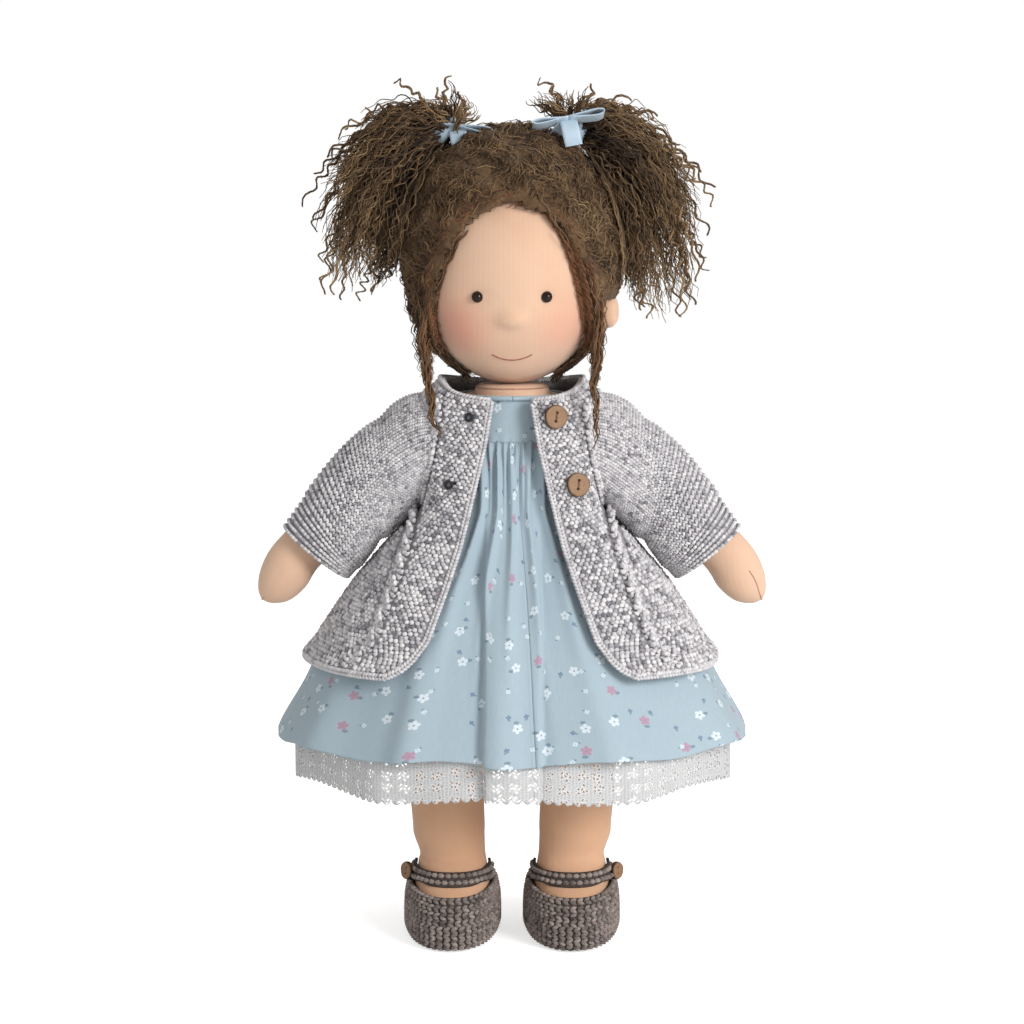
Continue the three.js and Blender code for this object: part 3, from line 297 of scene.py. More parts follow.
# Eyes and mouth
# Two dark polished glass beads are sewn into shallow dents, and one line of brown-red thread makes the mouth.
SIDES = ((-1, "left"), (1, "right"))
EYE_RADIUS = 2.65
MOUTH_HALF, MOUTH_HEIGHT, MOUTH_DIP, MOUTH_THREAD, MOUTH_STEPS = 9.2, 274.6, 2.6, 0.34, 40


def thread_material(name, dark, light):
    """Twisted matt cotton thread: dark grooves and light plies, drawn coarser than real so that they show."""
    made, tree = new_material(name)
    place = add_node(tree, "TexCoord", get="Object")
    grain = add_node(tree, "TexNoise", Vector=place, Scale=2600.0, Detail=3.0)
    return surfaced(made, Base_Color=add_node(tree, "ValToRGB", grain, stops=((0.32, dark), (0.66, light))),
                    Roughness=0.8, Sheen_Weight=0.3,
                    Normal=add_node(tree, "Bump", Height=grain, Strength=0.5, Distance=0.0002))


def box_middle(node):
    """The middle of a CAD node's box, in millimetres."""
    low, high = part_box(node)
    return np.array((low + high) / 2) * 1000


def unit(v):
    return v / (np.linalg.norm(v, axis=-1, keepdims=True) + 1e-9)


def tubes(paths, radii, sides=3):
    """Points and faces of many tubes. paths is strands x steps x 3 and radii one value or strands x steps."""
    paths = np.asarray(paths, float)
    strands, steps = paths.shape[:2]
    along = unit(np.gradient(paths, axis=1))
    mean = unit(along.mean(1))
    helper = np.where(np.abs(mean[:, 2:]) > 0.8, np.array([[1.0, 0.0, 0.0]]), np.array([[0.0, 0.0, 1.0]]))
    u = unit(np.cross(along, helper[:, None, :]))
    v = np.cross(along, u)
    turn = around(sides)[:, None]
    ring = u[:, :, None] * np.cos(turn) + v[:, :, None] * np.sin(turn)
    points = paths[:, :, None] + ring * np.broadcast_to(radii, (strands, steps))[:, :, None, None]
    base = (np.arange(strands) * steps * sides)[:, None, None]
    start = base + np.arange(steps - 1)[None, :, None] * sides
    c = np.arange(sides)[None, None, :]
    a, b = start + c, start + (c + 1) % sides
    quads = np.stack([a, b, b + sides, a + sides], -1).reshape(-1, 4)
    first = base[:, 0] + np.arange(sides)[::-1]
    last = base[:, 0] + (steps - 1) * sides + np.arange(sides)
    return points.reshape(-1, 3), quads.tolist() + first.tolist() + last.tolist()


def face_points(x, z, room=0.0):
    """Points over the face at x and z. Those beside the head stay level with its edge."""
    low, high = np.full(np.shape(x), 14.0), np.full(np.shape(x), 70.0)
    rel = np.stack([x, np.zeros_like(x), z - HEAD_CENTRE], -1)
    for _ in range(24):
        y = (low + high) / 2
        rel[..., 1] = -y
        length = np.linalg.norm(rel, axis=-1)
        over = head_points(rel / length[..., None]) - HEAD_MIDDLE
        inside = length < np.linalg.norm(over, axis=-1) + room
        low, high = np.where(inside, y, low), np.where(inside, high, y)
    return np.stack([x, -low, z], -1)


bead, tree = new_material("bead")
cloud = add_node(tree, "TexNoise", Vector=add_node(tree, "TexCoord", get="Object"), Scale=420.0)
surfaced(bead, Roughness=0.06, Specular_IOR_Level=0.3,
         Base_Color=add_node(tree, "ValToRGB", cloud, stops=((0.0, "#120a07"), (1.0, "#2e1a10"))))
for side, name in SIDES:
    centre = box_middle(f"eye_{name}")
    eye = new_mesh(f"eye_bead_{name}", *ball_grid(20, 28, lambda d: centre + d * EYE_RADIUS), bead)
    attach(eye, "head")
    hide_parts(f"eye_{name}")

xs = np.linspace(-MOUTH_HALF, MOUTH_HALF, MOUTH_STEPS)
line = face_points(xs, MOUTH_HEIGHT + MOUTH_DIP * (xs / MOUTH_HALF) ** 2, 0.1)
plump = MOUTH_THREAD * (0.8 + 0.2 * np.abs(np.sin(np.linspace(0, 5 * math.pi, MOUTH_STEPS))))
mouth_thread = thread_material("mouth_thread", "#7d4136", "#a5665a")
mouth = new_mesh("mouth_line", *tubes(line[None], plump, 8), mouth_thread)
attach(mouth, "head")
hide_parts("mouth_stitch")

# Ears
# Small half-round pockets of jersey, sewn to the sides of the head in front of the hair. The hair hides most
# of the left one, which is smaller.
EARS = {"left": (4.2, 41.2), "right": (5.2, 45.0)}
for side, name in SIDES:
    wide, out = EARS[name]

    def ear_at(d):
        p = d * np.array([wide, 5.3, 8.0])
        bowl = np.exp(-((d[..., 1] + 0.35) ** 2 + (d[..., 2] - 0.1) ** 2) / 0.16) * (d[..., 0] * side > 0)
        p[..., 0] -= side * 2.2 * bowl
        return p + np.array([side * out, -3.0, 296.0])

    ear = new_mesh(f"ear_skin_{name}", *ball_grid(24, 32, ear_at), skin)
    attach(ear, "head")
    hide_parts(f"ear_{name}")

# Arms and hands
# Stuffed jersey tubes that end in rounded mitten hands, closed at the tip by a short gathered seam of small
# stitches. Each row: x, z, radius and lean of the ring.
ARM_ROWS = [(37.9, 231.5, 14.0, 0.0), (45.2, 229.6, 14.0, 0.19), (59.7, 218.8, 14.0, 0.65),
            (80.2, 201.3, 12.8, 0.76), (98.4, 184.3, 11.5, 0.76), (106.4, 173.9, 12.2, 0.76),
            (112.5, 166.0, 9.8, 0.76), (116.9, 161.2, 4.9, 0.76), (118.5, 159.5, 0.6, 0.76)]
ARM_DEPTH = 0.94
SEAM_FROM, SEAM_TO, SEAM_STITCHES = 0.66, 0.985, 20
seam_thread = thread_material("seam_thread", "#8f6450", "#c3967c")
for side, name in SIDES:
    rings = []
    for x, z, r, tilt in spline_rows(ARM_ROWS, 60):
        r = max(r, 0.3)
        rings.append([(side * (x + r * math.cos(a) * math.sin(tilt)), -ARM_DEPTH * r * math.sin(a),
                       z + r * math.cos(a) * math.cos(tilt)) for a in TURN])
    arm = ringed(f"arm_skin_{name}", rings, skin, f"arm_{name}")
    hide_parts(f"arm_{name}")
    threads = []
    rows = spline_rows(ARM_ROWS, 400)
    t = np.linspace(-0.5, 0.5, 6)
    for at in np.linspace(SEAM_FROM, SEAM_TO, SEAM_STITCHES):
        row, ahead = rows[int(at * 399)], rows[min(399, int(at * 399) + 4)]
        step = unit(np.array([side * (ahead[0] - row[0]), 0, ahead[1] - row[1]]))
        lean = 0.38 * (1 - ease(at, 0.7, 0.97))
        beside = np.array([step[2], 0, -step[0] * side])
        beside = beside * np.sign(beside[2]) if beside[2] else beside
        reach = max(row[2], 0.3)
        centre = np.array([side * row[0], -ARM_DEPTH * reach * math.cos(lean) - 0.05, row[1]])
        centre = centre + beside * reach * math.sin(lean)
        threads.append(centre + np.outer(t * 1.3, step) + np.outer(0.2 * (0.25 - t * t), [0, -1, 0]))
    seam = new_mesh(f"hand_seam_{name}", *tubes(threads, 0.16, 5), seam_thread)
    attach(seam, f"arm_{name}")

# Legs and feet
# Stuffed jersey legs with turned-forward feet, hidden in the shoes below the ankle. Each row of the foot:
# share of the instep's height, and the shares of its reach in front, its width and its reach behind.
HIP = (32.0, 114.0)
FOOT_X, INSTEP, FOOT_FLOOR = 28.5, 34.0, 3.55
TOE_REACH, FOOT_WIDTH, HEEL_REACH, ANKLE = 41.5, 19.3, 16.5, 15.7
FOOT_TABLE = np.array([(0, 0.87, 0.8, 0.8), (0.08, 0.965, 0.94, 0.94), (0.24, 1, 1, 1), (0.44, 0.93, 0.985, 1),
                       (0.6, 0.77, 0.93, 0.985), (0.74, 0.59, 0.88, 0.97), (0.88, 0.46, 0.84, 0.96),
                       (1, ANKLE / TOE_REACH, ANKLE / FOOT_WIDTH, ANKLE / HEEL_REACH)])
SHIN_ROWS = [(46, 17.0), (52, 17.3), (75, 17.8), (100, 17.8), (114, 17.2), (121.5, 14.7),
             (126.6, 10.7), (129.7, 5.1)]


def rounded(angle, roundness):
    """The sine and cosine of an angle, squared up by a roundness, where 2 is a plain circle."""
    return [np.sign(v) * np.abs(v) ** (2 / roundness) for v in (np.sin(angle), np.cos(angle))]


def leg_x(z):
    return FOOT_X + (HIP[0] - FOOT_X) * ease(z, INSTEP, HIP[1])


def foot_point(angle, z, room, side):
    """The foot's surface at an angle from the front and a height, in millimetres."""
    share = (z - FOOT_FLOOR) / INSTEP
    front, width, back = (np.interp(share, FOOT_TABLE[:, 0], FOOT_TABLE[:, k]) for k in (1, 2, 3))
    s, c = rounded(angle, 2.2)
    reach = np.where(c > 0, TOE_REACH * front, HEEL_REACH * back) + room
    x = side * leg_x(z) + (FOOT_WIDTH * width + room) * s
    return np.stack(np.broadcast_arrays(x, -reach * c, z), -1)


# The legs' jersey is a warmer, more orange copy of the skin's, tinted as painted shade for the petticoat's
# shadow over them.
leg_skin = jersey_material("jersey_legs_shade_tint", "#e3b896", "#d4a380")
for side, name in SIDES:
    rings = [foot_point(TURN, FOOT_FLOOR + row[0] * INSTEP, 0, side) for row in FOOT_TABLE]
    for z, r in SHIN_ROWS:
        x = side * (leg_x(z) + 1.4 * ease(z, INSTEP, 46) * (1 - ease(z, 100, 118)))
        rings.append(np.stack([x + r * np.sin(TURN), -r * np.cos(TURN), np.full(48, z)], -1))
    rows = spline_rows(np.reshape(rings, (len(rings), -1)), 90).reshape(90, 48, 3)
    leg = ringed(f"leg_skin_{name}", rows, leg_skin, f"leg_{name}")
    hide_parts(f"leg_{name}")

# Hair
# Brown mohair, sewn over the head as a thick fluffy cap and gathered into two bunches that fan out of their
# ties. Every strand is a tube: crimped frizz on the cap, waved clumps in the bunches, and curly locks at
# their ends.
random = np.random.default_rng(7)
HAIR_CENTRE, HAIR_HALF = np.array([0.0, 2.0, 322.0]), np.array([53.5, 51.0, 62.0])
CAP_ROOM = 2.4
OPEN_HALF, OPEN_MIDDLE, OPEN_ABOVE, OPEN_BELOW = 37.0, 300.0, 47.0, 60.0
TIES = {"left": np.array([-27.0, 3.0, 376.0]), "right": np.array([27.0, 3.0, 377.0])}
CAP_STRANDS, CAP_STEPS = 2900, 9


def hair_material(name, dark, middle, light, red):
    """Wool tinted by each strand's tone, with curly fibres in its colour and its bump. Some pieces set the tone
    lighter or darker as painted light and shade.
    """
    made, tree = new_material(name)
    tone = add_node(tree, "Attribute", get="Fac", attribute_name="tone")
    reddish = add_node(tree, "Attribute", get="Fac", attribute_name="red")
    place = add_node(tree, "TexCoord", get="Object")
    cloud = add_node(tree, "TexNoise", Vector=place, Scale=95.0, Detail=3.0)
    curls = add_node(tree, "TexNoise", Vector=place, Scale=420.0, Detail=4.0, Distortion=2.6)
    value = add_node(tree, "Math", cloud, 0.8, tone, operation="MULTIPLY_ADD")
    value = add_node(tree, "Math", curls, 0.55, value, operation="MULTIPLY_ADD")
    value = add_node(tree, "Math", value, 0.55, operation="MULTIPLY")
    brown = add_node(tree, "ValToRGB", value, stops=((0.3, dark), (0.56, middle), (0.85, light)))
    brown = add_node(tree, "Mix", reddish, get=2, _6=brown, _7=red, data_type="RGBA")
    return surfaced(made, Base_Color=brown, Roughness=0.72, Sheen_Weight=0.08, Specular_IOR_Level=0.2,
                    Normal=add_node(tree, "Bump", Height=curls, Strength=0.7, Distance=0.0012))


def paint(made, **values):
    """Sets number attributes of a mesh: one value for all points, or one for each."""
    for key, value in values.items():
        layer = made.data.attributes.new(key, "FLOAT", "POINT")
        layer.data.foreach_set("value", np.broadcast_to(value, len(made.data.vertices)).astype(np.float32))


def hair_piece(name, paths, radius, body, tone, red=0.0, sides=3, taper=0.35):
    """Many strands as one piece. tone and red broadcast to one value for each point of each strand."""
    strands, steps = paths.shape[:2]
    radii = radius * random.uniform(0.75, 1.2, (strands, 1)) * (1 - (1 - taper) * np.linspace(0, 1, steps) ** 2)
    made = new_mesh(name, *tubes(paths, radii, sides), hair_mat)
    paint(made, **{key: np.repeat(np.broadcast_to(value, (strands, steps)), sides, axis=1).ravel()
                   for key, value in (("tone", tone), ("red", red))})
    if body:
        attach(made, body)
    return made


def phases(*shape):
    return random.uniform(0, 6.28, shape)


def lumps(p):
    """Soft lumps of the fluffy cap, from -1 to 1."""
    x, y, z = p[..., 0], p[..., 1], p[..., 2]
    return (np.sin(x * 0.31 + 2 * np.sin(z * 0.17)) * np.sin(y * 0.27 + z * 0.23)
            + 0.6 * np.sin(x * 0.62 + y * 0.4) * np.sin(z * 0.55 + 1.3)) / 1.4


def in_face(p, room=0.0):
    """True where a point lies in the opening of the hair round the face, at one ear, or under the nape."""
    x, y, z = p[..., 0], p[..., 1], p[..., 2]
    rise = np.where(z > OPEN_MIDDLE, OPEN_ABOVE + room, OPEN_BELOW)
    opening = ((x / (OPEN_HALF + room)) ** 2 + ((z - OPEN_MIDDLE) / rise) ** 2 < 1) & (y < -11)
    ear = (x > 30) & (((y + 10) / 15) ** 2 + ((z - 295.5) / 8.5) ** 2 < 1)
    return opening | ear | (z < 270 - room)


def cap_at(d):
    p = HAIR_CENTRE + d * (HAIR_HALF - CAP_ROOM)
    return p + d * (1.9 * lumps(p))[..., None]


def cap_normal(p):
    return unit((p - HAIR_CENTRE) / HAIR_HALF ** 2)


def plain(made):
    """Keeps what an object's modifiers make of it as its own mesh."""
    data = bpy.data.meshes.new_from_object(made.evaluated_get(bpy.context.evaluated_depsgraph_get()))
    made.modifiers.clear()
    made.data = data


def walled(made, thickness):
    """Drops loose points and gives a surface an even wall inward, in millimetres."""
    remade(made, lambda bm: bmesh.ops.delete(bm, geom=[v for v in bm.verts if not v.link_faces],
                                             context="VERTS"))
    wall = made.modifiers.new("wall", "SOLIDIFY")
    wall.thickness = thickness * 0.001
    wall.offset = -1
    plain(made)
    return made


hair_mat = hair_material("hair", "#2b1d12", "#654d35", "#9d7f5a", "#865434")
points, faces = ball_grid(76, 120, cap_at)
faces = np.array([(*f, f[-1])[:4] for f in faces])
kept = [tuple(dict.fromkeys(f)) for f in faces[~in_face(points[faces], 0.5).all(1)].tolist()]
hair_base = walled(new_mesh("hair_cap_base", points, kept, hair_mat), 4)
paint(hair_base, tone=0.3, red=0.0)
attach(hair_base, "head")
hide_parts("hair_cap")


def frizz(starts, length):
    """Short crimped fibres that leave the cap at the given points and lie down over it in tufts."""
    count = len(starts)
    n = cap_normal(starts)
    tie = np.where(starts[:, :1] < 0, TIES["left"], TIES["right"])
    x, y, z = starts.T
    swirl = np.stack([np.sin(z * 0.34 + x * 0.2), np.sin(x * 0.37 + y * 0.3), np.cos(y * 0.33 + x * 0.27)], 1)
    heading = unit(tie - starts) * 0.7 + swirl * 0.75 + random.normal(0, 0.35, (count, 3))
    heading = unit(heading - n * (heading * n).sum(1, keepdims=True))
    across = np.cross(n, heading)
    share = np.linspace(0, 1, CAP_STEPS)[None]
    run = share * length[:, None]
    bend = random.normal(0, 0.04, (count, 1))
    rise = random.uniform(0.08, 0.42, (count, 1)) ** 1.2 * 1.3
    phase = phases(count, 1) + run * 6.28 / random.uniform(3.4, 5.2, (count, 1))
    sideways = bend * run ** 2 + 0.6 * np.sin(phase) * np.clip(share * 4, 0, 1)
    upward = rise * run * (1 - 0.55 * share) + 0.3 * np.cos(phase) - 0.5
    paths = starts[:, None] + heading[:, None] * run[..., None] + across[:, None] * sideways[..., None]
    over = cap_at(unit((paths - HAIR_CENTRE) / (HAIR_HALF - CAP_ROOM)))
    return over + cap_normal(over) * upward[..., None]


for name, keep in (("front", lambda p: p[:, 1] < -2), ("back", lambda p: p[:, 1] >= -2)):
    starts = []
    while sum(map(len, starts)) < CAP_STRANDS:
        d = unit(random.normal(size=(CAP_STRANDS * 2, 3)))
        p = cap_at(d) + d * 0.3
        starts.append(p[keep(p) & ~in_face(p, 0.3)])
    starts = np.vstack(starts)[:CAP_STRANDS]
    paths = frizz(starts, random.uniform(7, 14, CAP_STRANDS))
    clear = ~(in_face(paths, -1.0) & (paths[..., 2] > 272)).any(1)
    starts, paths = starts[clear], paths[clear]
    from_edge = np.hypot(starts[:, 0] / OPEN_HALF, (starts[:, 2] - OPEN_MIDDLE) / OPEN_ABOVE) - 1
    edge = 1 - np.clip(from_edge / 0.07, 0, 1)
    red = (edge * (starts[:, 1] < -10))[:, None] * np.linspace(0.7, 0.2, CAP_STEPS)
    # The fibres are lighter on the cap's lumps and darker in its dips, and darker towards the root: painted
    # light and shade that follow the relief and the fibres lying over one another.
    tone = (0.4 + 0.3 * lumps(starts)[:, None] + random.uniform(-0.25, 0.3, (len(starts), 1))
            + np.linspace(-0.3, 0.15, CAP_STEPS))
    hair_piece(f"hair_cap_{name}", paths, 0.31, "head", tone, red)

# Thin reddish strands follow the hairline, where they spill from the cap onto the skin.
count, steps = 620, 14
share = np.linspace(0, 1, steps)
begin = random.uniform(math.radians(-104), math.radians(104), count)
way = np.where(np.abs(begin) < math.radians(24), random.choice([-1.0, 1.0], count), np.sign(begin))
turn = begin[:, None] + (way * random.uniform(math.radians(9), math.radians(27), count))[:, None] * share
run = np.abs(turn - begin[:, None]) * 44
phase = phases(count, 1) + run * 6.28 / random.uniform(4.5, 7.0, (count, 1))
spill = random.uniform(-0.6, 3.6, (count, 1)) + random.uniform(-3.0, 2.0, (count, 1)) * share
spill = spill - 1.5 * (begin[:, None] > 0.3) * (random.uniform(0, 1, (count, 1)) > 0.7) * share
spill = spill + 0.75 * np.sin(phase)
x = (OPEN_HALF + spill) * np.sin(turn)
z = OPEN_MIDDLE + np.where(np.cos(turn) > 0, OPEN_ABOVE + spill, OPEN_BELOW * 0.75) * np.cos(turn)
room = 0.9 + 4.6 * ease(spill, -2.6, 1.8) + 0.4 * np.cos(phase)
hair_piece("hairline", face_points(x, z, room), 0.27, "head", random.uniform(0.1, 0.6, (count, 1)),
           np.clip(random.uniform(0.3, 1.0, (count, 1)) - 0.15 * spill, 0, 0.9))


def read(at, places, table):
    """A table's columns read at the given places, between its rows."""
    return np.stack([np.interp(at, places, column) for column in np.asarray(table).T], -1)


# A loose fringe of reddish waves falls from the parting over one side of the forehead and down past the eye.
FRINGE = [(-6, 350), (8, 347), (19, 338), (26.5, 322), (31.0, 303), (33.5, 284), (35.5, 272)]
count, steps = 84, 64
share = random.uniform(0, 0.5, (count, 1)) + random.uniform(0.25, 0.5, (count, 1)) * np.linspace(0, 1, steps)
flat = read(share, np.linspace(0, 1, 80), spline_rows(FRINGE, 80))
outward = unit(np.stack([flat[..., 0], (flat[..., 1] - 300) * 0.8], -1))
phase = phases(count, 1) + share * random.uniform(95, 125, (count, 1))
shift = np.abs(random.normal(0, 3.4, (count, 1))) - 1.0 + 0.9 * np.sin(phase) + 1.5 * (share - 0.5)
flat = flat + outward * shift[..., None]
room = 1.2 + 3.6 * ease(shift, 0.0, 4.0) + 0.5 * np.cos(phase)
hair_piece("fringe", face_points(flat[..., 0], flat[..., 1], room), 0.3, "head",
           random.uniform(0.2, 0.7, (count, 1)), random.uniform(0.45, 1.0, (count, 1)))

# Under the cap's rim, short curly strands cover the nape and hide the top of the neck.
count, steps = 440, 12
turn = random.uniform(math.radians(58), math.radians(302), count)
begin = HAIR_CENTRE[2] - random.uniform(38, 51, count)
share = np.linspace(0, 1, steps)
finish = random.uniform(260.5, 265, count) + 6.5 * (1 - np.cos(turn)) / 2
z = begin[:, None] + (finish - begin)[:, None] * share
shrink = np.sqrt(1 - np.minimum(0.93, np.abs(z - HAIR_CENTRE[2]) / HAIR_HALF[2]) ** 2)
turn = turn[:, None]
wide = np.maximum(shrink * (HAIR_HALF[0] - 1.5), random.uniform(20.5, 24, (count, 1)))
wide = wide + 0.8 * np.sin(share * 9 + turn * 11)
phase = phases(count, 1) + share * random.uniform(16, 24, (count, 1))
bent = turn + 0.03 * np.sin(phase) + 0.05 * share * np.sin(turn * 17)
paths = np.stack([wide * np.sin(bent), HAIR_CENTRE[1] - wide * 0.95 * np.cos(bent), z], -1)
# The nape's strands are given darker tones than the cap's, as painted shade under its rim.
hair_piece("nape", paths, 0.5, "head", random.uniform(-0.1, 0.45, (count, 1)))

# Soft curtains of waved strands hang from the temples to the jaw, in front of the ears.
CURTAINS = {
    "left": [(-22, -35, 341), (-31, -31, 322), (-37, -24, 303), (-40, -20, 286), (-39.5, -21, 274),
             (-38, -24, 265)],
    "right": [(19, -36, 343), (29, -32, 325), (35.5, -26, 307), (38.5, -22, 289), (38.5, -22, 275),
              (38, -25, 265)],
}
for name, table in CURTAINS.items():
    core = spline_rows(table, 60)
    count, steps = 220, 24
    begin = random.uniform(0, 0.45, count)
    finish = np.clip(begin + random.uniform(0.3, 0.75, count), 0, 1)
    index = begin[:, None] + (finish - begin)[:, None] * np.linspace(0, 1, steps)
    spread = random.normal(0, 1.0, (count, 1, 3)) * np.array([2.3, 2.4, 3.0])
    paths = read(index, np.linspace(0, 1, 60), core) + spread * (1.15 - 0.7 * index)[..., None]
    away = unit(paths - HEAD_MIDDLE)
    radius = np.linalg.norm(paths - HEAD_MIDDLE, axis=-1)
    least = np.linalg.norm(head_points(away, 1.0) - HEAD_MIDDLE, axis=-1)
    paths = paths + away * np.maximum(0, least - radius)[..., None]
    phase = phases(count, 1) + index * random.uniform(52, 74, (count, 1))
    paths = paths + np.stack([0.8 * np.sin(phase), 0.5 * np.cos(phase), 0.3 * np.sin(phase * 1.3)], -1)
    inner = np.clip(0.5 - spread[..., 0] * np.sign(core[0, 0]) * 0.22, 0, 1)
    hair_piece(f"curtain_{name}", paths, 0.33, "head", random.uniform(0.1, 0.65, (count, 1)),
               inner * random.uniform(0.0, 0.45, (count, 1)))

# The bunches: clumps of waved strands fan out of the tie, rise and fall to an outline seen from the front,
# given as x and z. The strands leave the tie at angles that turn from steep at its start to level and down at
# its end.
BUNCH_OUTLINES = {
    "left": [(-12, 390), (-27, 397), (-46, 394), (-67, 382), (-83, 366), (-90, 348), (-90, 330), (-86, 308),
             (-77, 302), (-62, 306), (-54, 318)],
    "right": [(6, 391), (18, 397), (38, 396), (57, 389), (73, 374), (83, 358), (89, 343), (88, 324), (84, 307),
              (78, 293), (63, 295), (54, 305)],
}
LEAVING = np.radians(np.interp(np.linspace(0, 1, 80), [0, 0.15, 0.35, 0.6, 0.8, 1],
                               [125, 84, 52, 18, -14, -68]))
ALONG_BORDER = np.arange(80)


def outside_cap(p, room):
    q = (p - HAIR_CENTRE) / (HAIR_HALF + room)
    r = np.linalg.norm(q, axis=-1, keepdims=True)
    return np.where(r < 1, HAIR_CENTRE + (p - HAIR_CENTRE) / np.maximum(r, 0.2), p)


def fan(name, end, steep, deep, first, last, steps):
    """Arcs from a tie to ends in x and z. steep is the angle at which each leaves it, deep its depth there."""
    side = np.sign(TIES[name][0])
    tie = TIES[name][[0, 2]]
    reach = np.linalg.norm(end - tie, axis=-1, keepdims=True)
    knee = tie + reach * 0.52 * np.stack([side * np.cos(steep), np.sin(steep)], -1)
    t = first + (last[:, None] - first) * np.linspace(0, 1, steps)
    q = t[..., None]
    flat = (1 - q) ** 2 * tie + 2 * q * (1 - q) * knee[:, None] + q * q * end[:, None]
    y = TIES[name][1] + deep[:, None] * (1 - (1 - t) ** 2) * (1 - 0.2 * t * t)
    return np.stack([flat[..., 0], y, flat[..., 1]], -1), t * reach


def ways_round(lead):
    """Two directions across each arc, the first one random."""
    along = unit(np.gradient(lead, axis=1))
    first = unit(np.cross(along, random.normal(size=(len(lead), 1, 3))))
    return first, np.cross(along, first)


for name, outline_points in BUNCH_OUTLINES.items():
    side, tie = np.sign(TIES[name][0]), TIES[name][[0, 2]]
    border = spline_rows(outline_points, 80)

    def core_at(d):
        p = TIES[name] + np.array([side * 33.0, 0.0, -26.0]) + d * np.array([14.0, 9.0, 24.0])
        p = p + d * (1.5 * np.sin(p[..., 0] * 0.4) * np.sin(p[..., 2] * 0.33 + p[..., 1] * 0.3))[..., None]
        return outside_cap(p, 0.5)

    core = new_mesh(f"bunch_core_{name}", *ball_grid(40, 60, core_at), hair_mat)
    # The core is painted darkest, as the shade deep inside the bunch between its strands.
    paint(core, tone=0.0, red=0.0)
    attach(core, "head")
    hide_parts(f"bunch_{name}")

    clumps, each, steps = 150, 7, 34
    at = 79 * random.uniform(0, 1, clumps) ** 0.75
    depth = random.uniform(-1, 1, clumps)
    spread = np.sqrt(1 - 0.4 * depth ** 2) * random.uniform(0.88, 1.02, clumps)
    end = tie + (read(at, ALONG_BORDER, border) - tie) * spread[:, None]
    steep = np.interp(at, ALONG_BORDER, LEAVING) + random.normal(0, 0.12, clumps)
    lead, run = fan(name, end, steep, depth * 25, 0.02, random.uniform(0.84, 1.02, clumps), steps)
    first_way, second_way = ways_round(lead)
    phase = (phases(clumps, 1) + 6.28 * run / random.uniform(8.5, 12.5, (clumps, 1)))[..., None]
    wide = 1.25 * np.clip(run / 14, 0, 1)[..., None]
    lead = lead + first_way * wide * np.sin(phase) + second_way * wide * 0.7 * np.cos(phase * 0.93)
    narrow = np.clip(run / 30, 0.2, 1) * (1.25 - 0.5 * run / run[:, -1:])
    paths = lead[:, None] + random.normal(0, 3.3, (clumps, each, 1, 3)) * narrow[:, None, :, None]
    small = phases(clumps, each, 1) + 6.28 * run[:, None] / random.uniform(6.5, 8.5, (clumps, each, 1))
    paths = paths + np.stack([np.sin(small), np.cos(small * 1.1), np.sin(small * 0.9 + 1)], -1) * 0.6
    paths = outside_cap(paths.reshape(clumps * each, steps, 3), 1.0)
    # Each strand darkens towards the tie and lightens towards its end: painted shade where the strands crowd
    # together at the tie.
    tone = np.repeat(random.uniform(-0.05, 0.6, (clumps, 1)), each, 0)
    tone = tone + random.uniform(-0.12, 0.15, (clumps * each, 1)) + np.linspace(-0.25, 0.3, steps)
    for k, half in enumerate(("lower", "upper")):
        hair_piece(f"bunch_strands_{name}_{half}", paths[k::2], 0.47, "head", tone[k::2])

    # Curly locks of three strands stand out beyond the others, each coiled at its end.
    count, steps = 22, 62
    at = np.linspace(6, 76, count) + random.uniform(-2.5, 2.5, count)
    end = read(at, ALONG_BORDER, border)
    beyond = random.uniform(0, 11, count) * (1 - 0.8 * ease(at, 46, 62))
    end = tie + (end - tie) * (1 + beyond / np.linalg.norm(end - tie, axis=1))[:, None]
    steep = np.interp(at, ALONG_BORDER, LEAVING) + random.normal(0, 0.25, count)
    lead, run = fan(name, end, steep, random.uniform(-20, 10, count), 0.55, np.ones(count), steps)
    first_way, second_way = ways_round(lead)
    share = np.linspace(0, 1, steps)[None, :, None]
    wide = random.uniform(0.8, 1.5, (count, 1, 1)) * ease(share, 0.0, 0.3) * (1 + 0.8 * ease(share, 0.75, 1.0))
    wave = share * random.uniform(8, 16, (count, 1, 1)) + random.uniform(0, 6, (count, 1, 1))
    wide = wide * (1 + 0.4 * np.sin(wave))
    pitch = random.uniform(5.4, 7.6, (count, 1))
    pitch = pitch * (1 + 0.25 * np.sin(share[..., 0] * random.uniform(7, 13, (count, 1))))
    turns = np.cumsum(np.diff(run, axis=1, prepend=run[:, :1]) / pitch, 1)
    phase = (phases(count, 1) + 6.28 * turns)[..., None]
    lead = lead + first_way * wide * np.cos(phase) + second_way * wide * np.sin(phase)
    twist = phase * 1.7 + np.array([0, 2.09, 4.19])[:, None, None, None]
    paths = lead + 0.42 * (first_way * np.cos(twist) + second_way * np.sin(twist)) * (1.3 - 0.6 * share)
    hair_piece(f"curls_{name}", outside_cap(paths.reshape(3 * count, steps, 3), 2.0), 0.42, "head",
               np.tile(random.uniform(0.35, 0.8, (count, 1)), (3, 1)), sides=4, taper=0.6)

# Trunk
# The stuffed body under the clothes, of jersey. Each row: share of its height, and shares of its half-width
# and half-depth at the shoulders.
TRUNK = [(0, 0.45, 0.5), (0.04, 0.85, 0.95), (0.11, 1.06, 1.2), (0.22, 1.11, 1.25), (0.38, 1.07, 1.27),
         (0.55, 1, 1.14), (0.66, 1, 1.05), (0.78, 1, 1), (0.86, 0.98, 0.95), (0.93, 0.86, 0.88),
         (0.97, 0.68, 0.84), (1, 0.56, 0.81)]
TRUNK_BOTTOM, TRUNK_HEIGHT, TRUNK_WIDTH, TRUNK_DEPTH = 106, 151.5, 37.5, 24


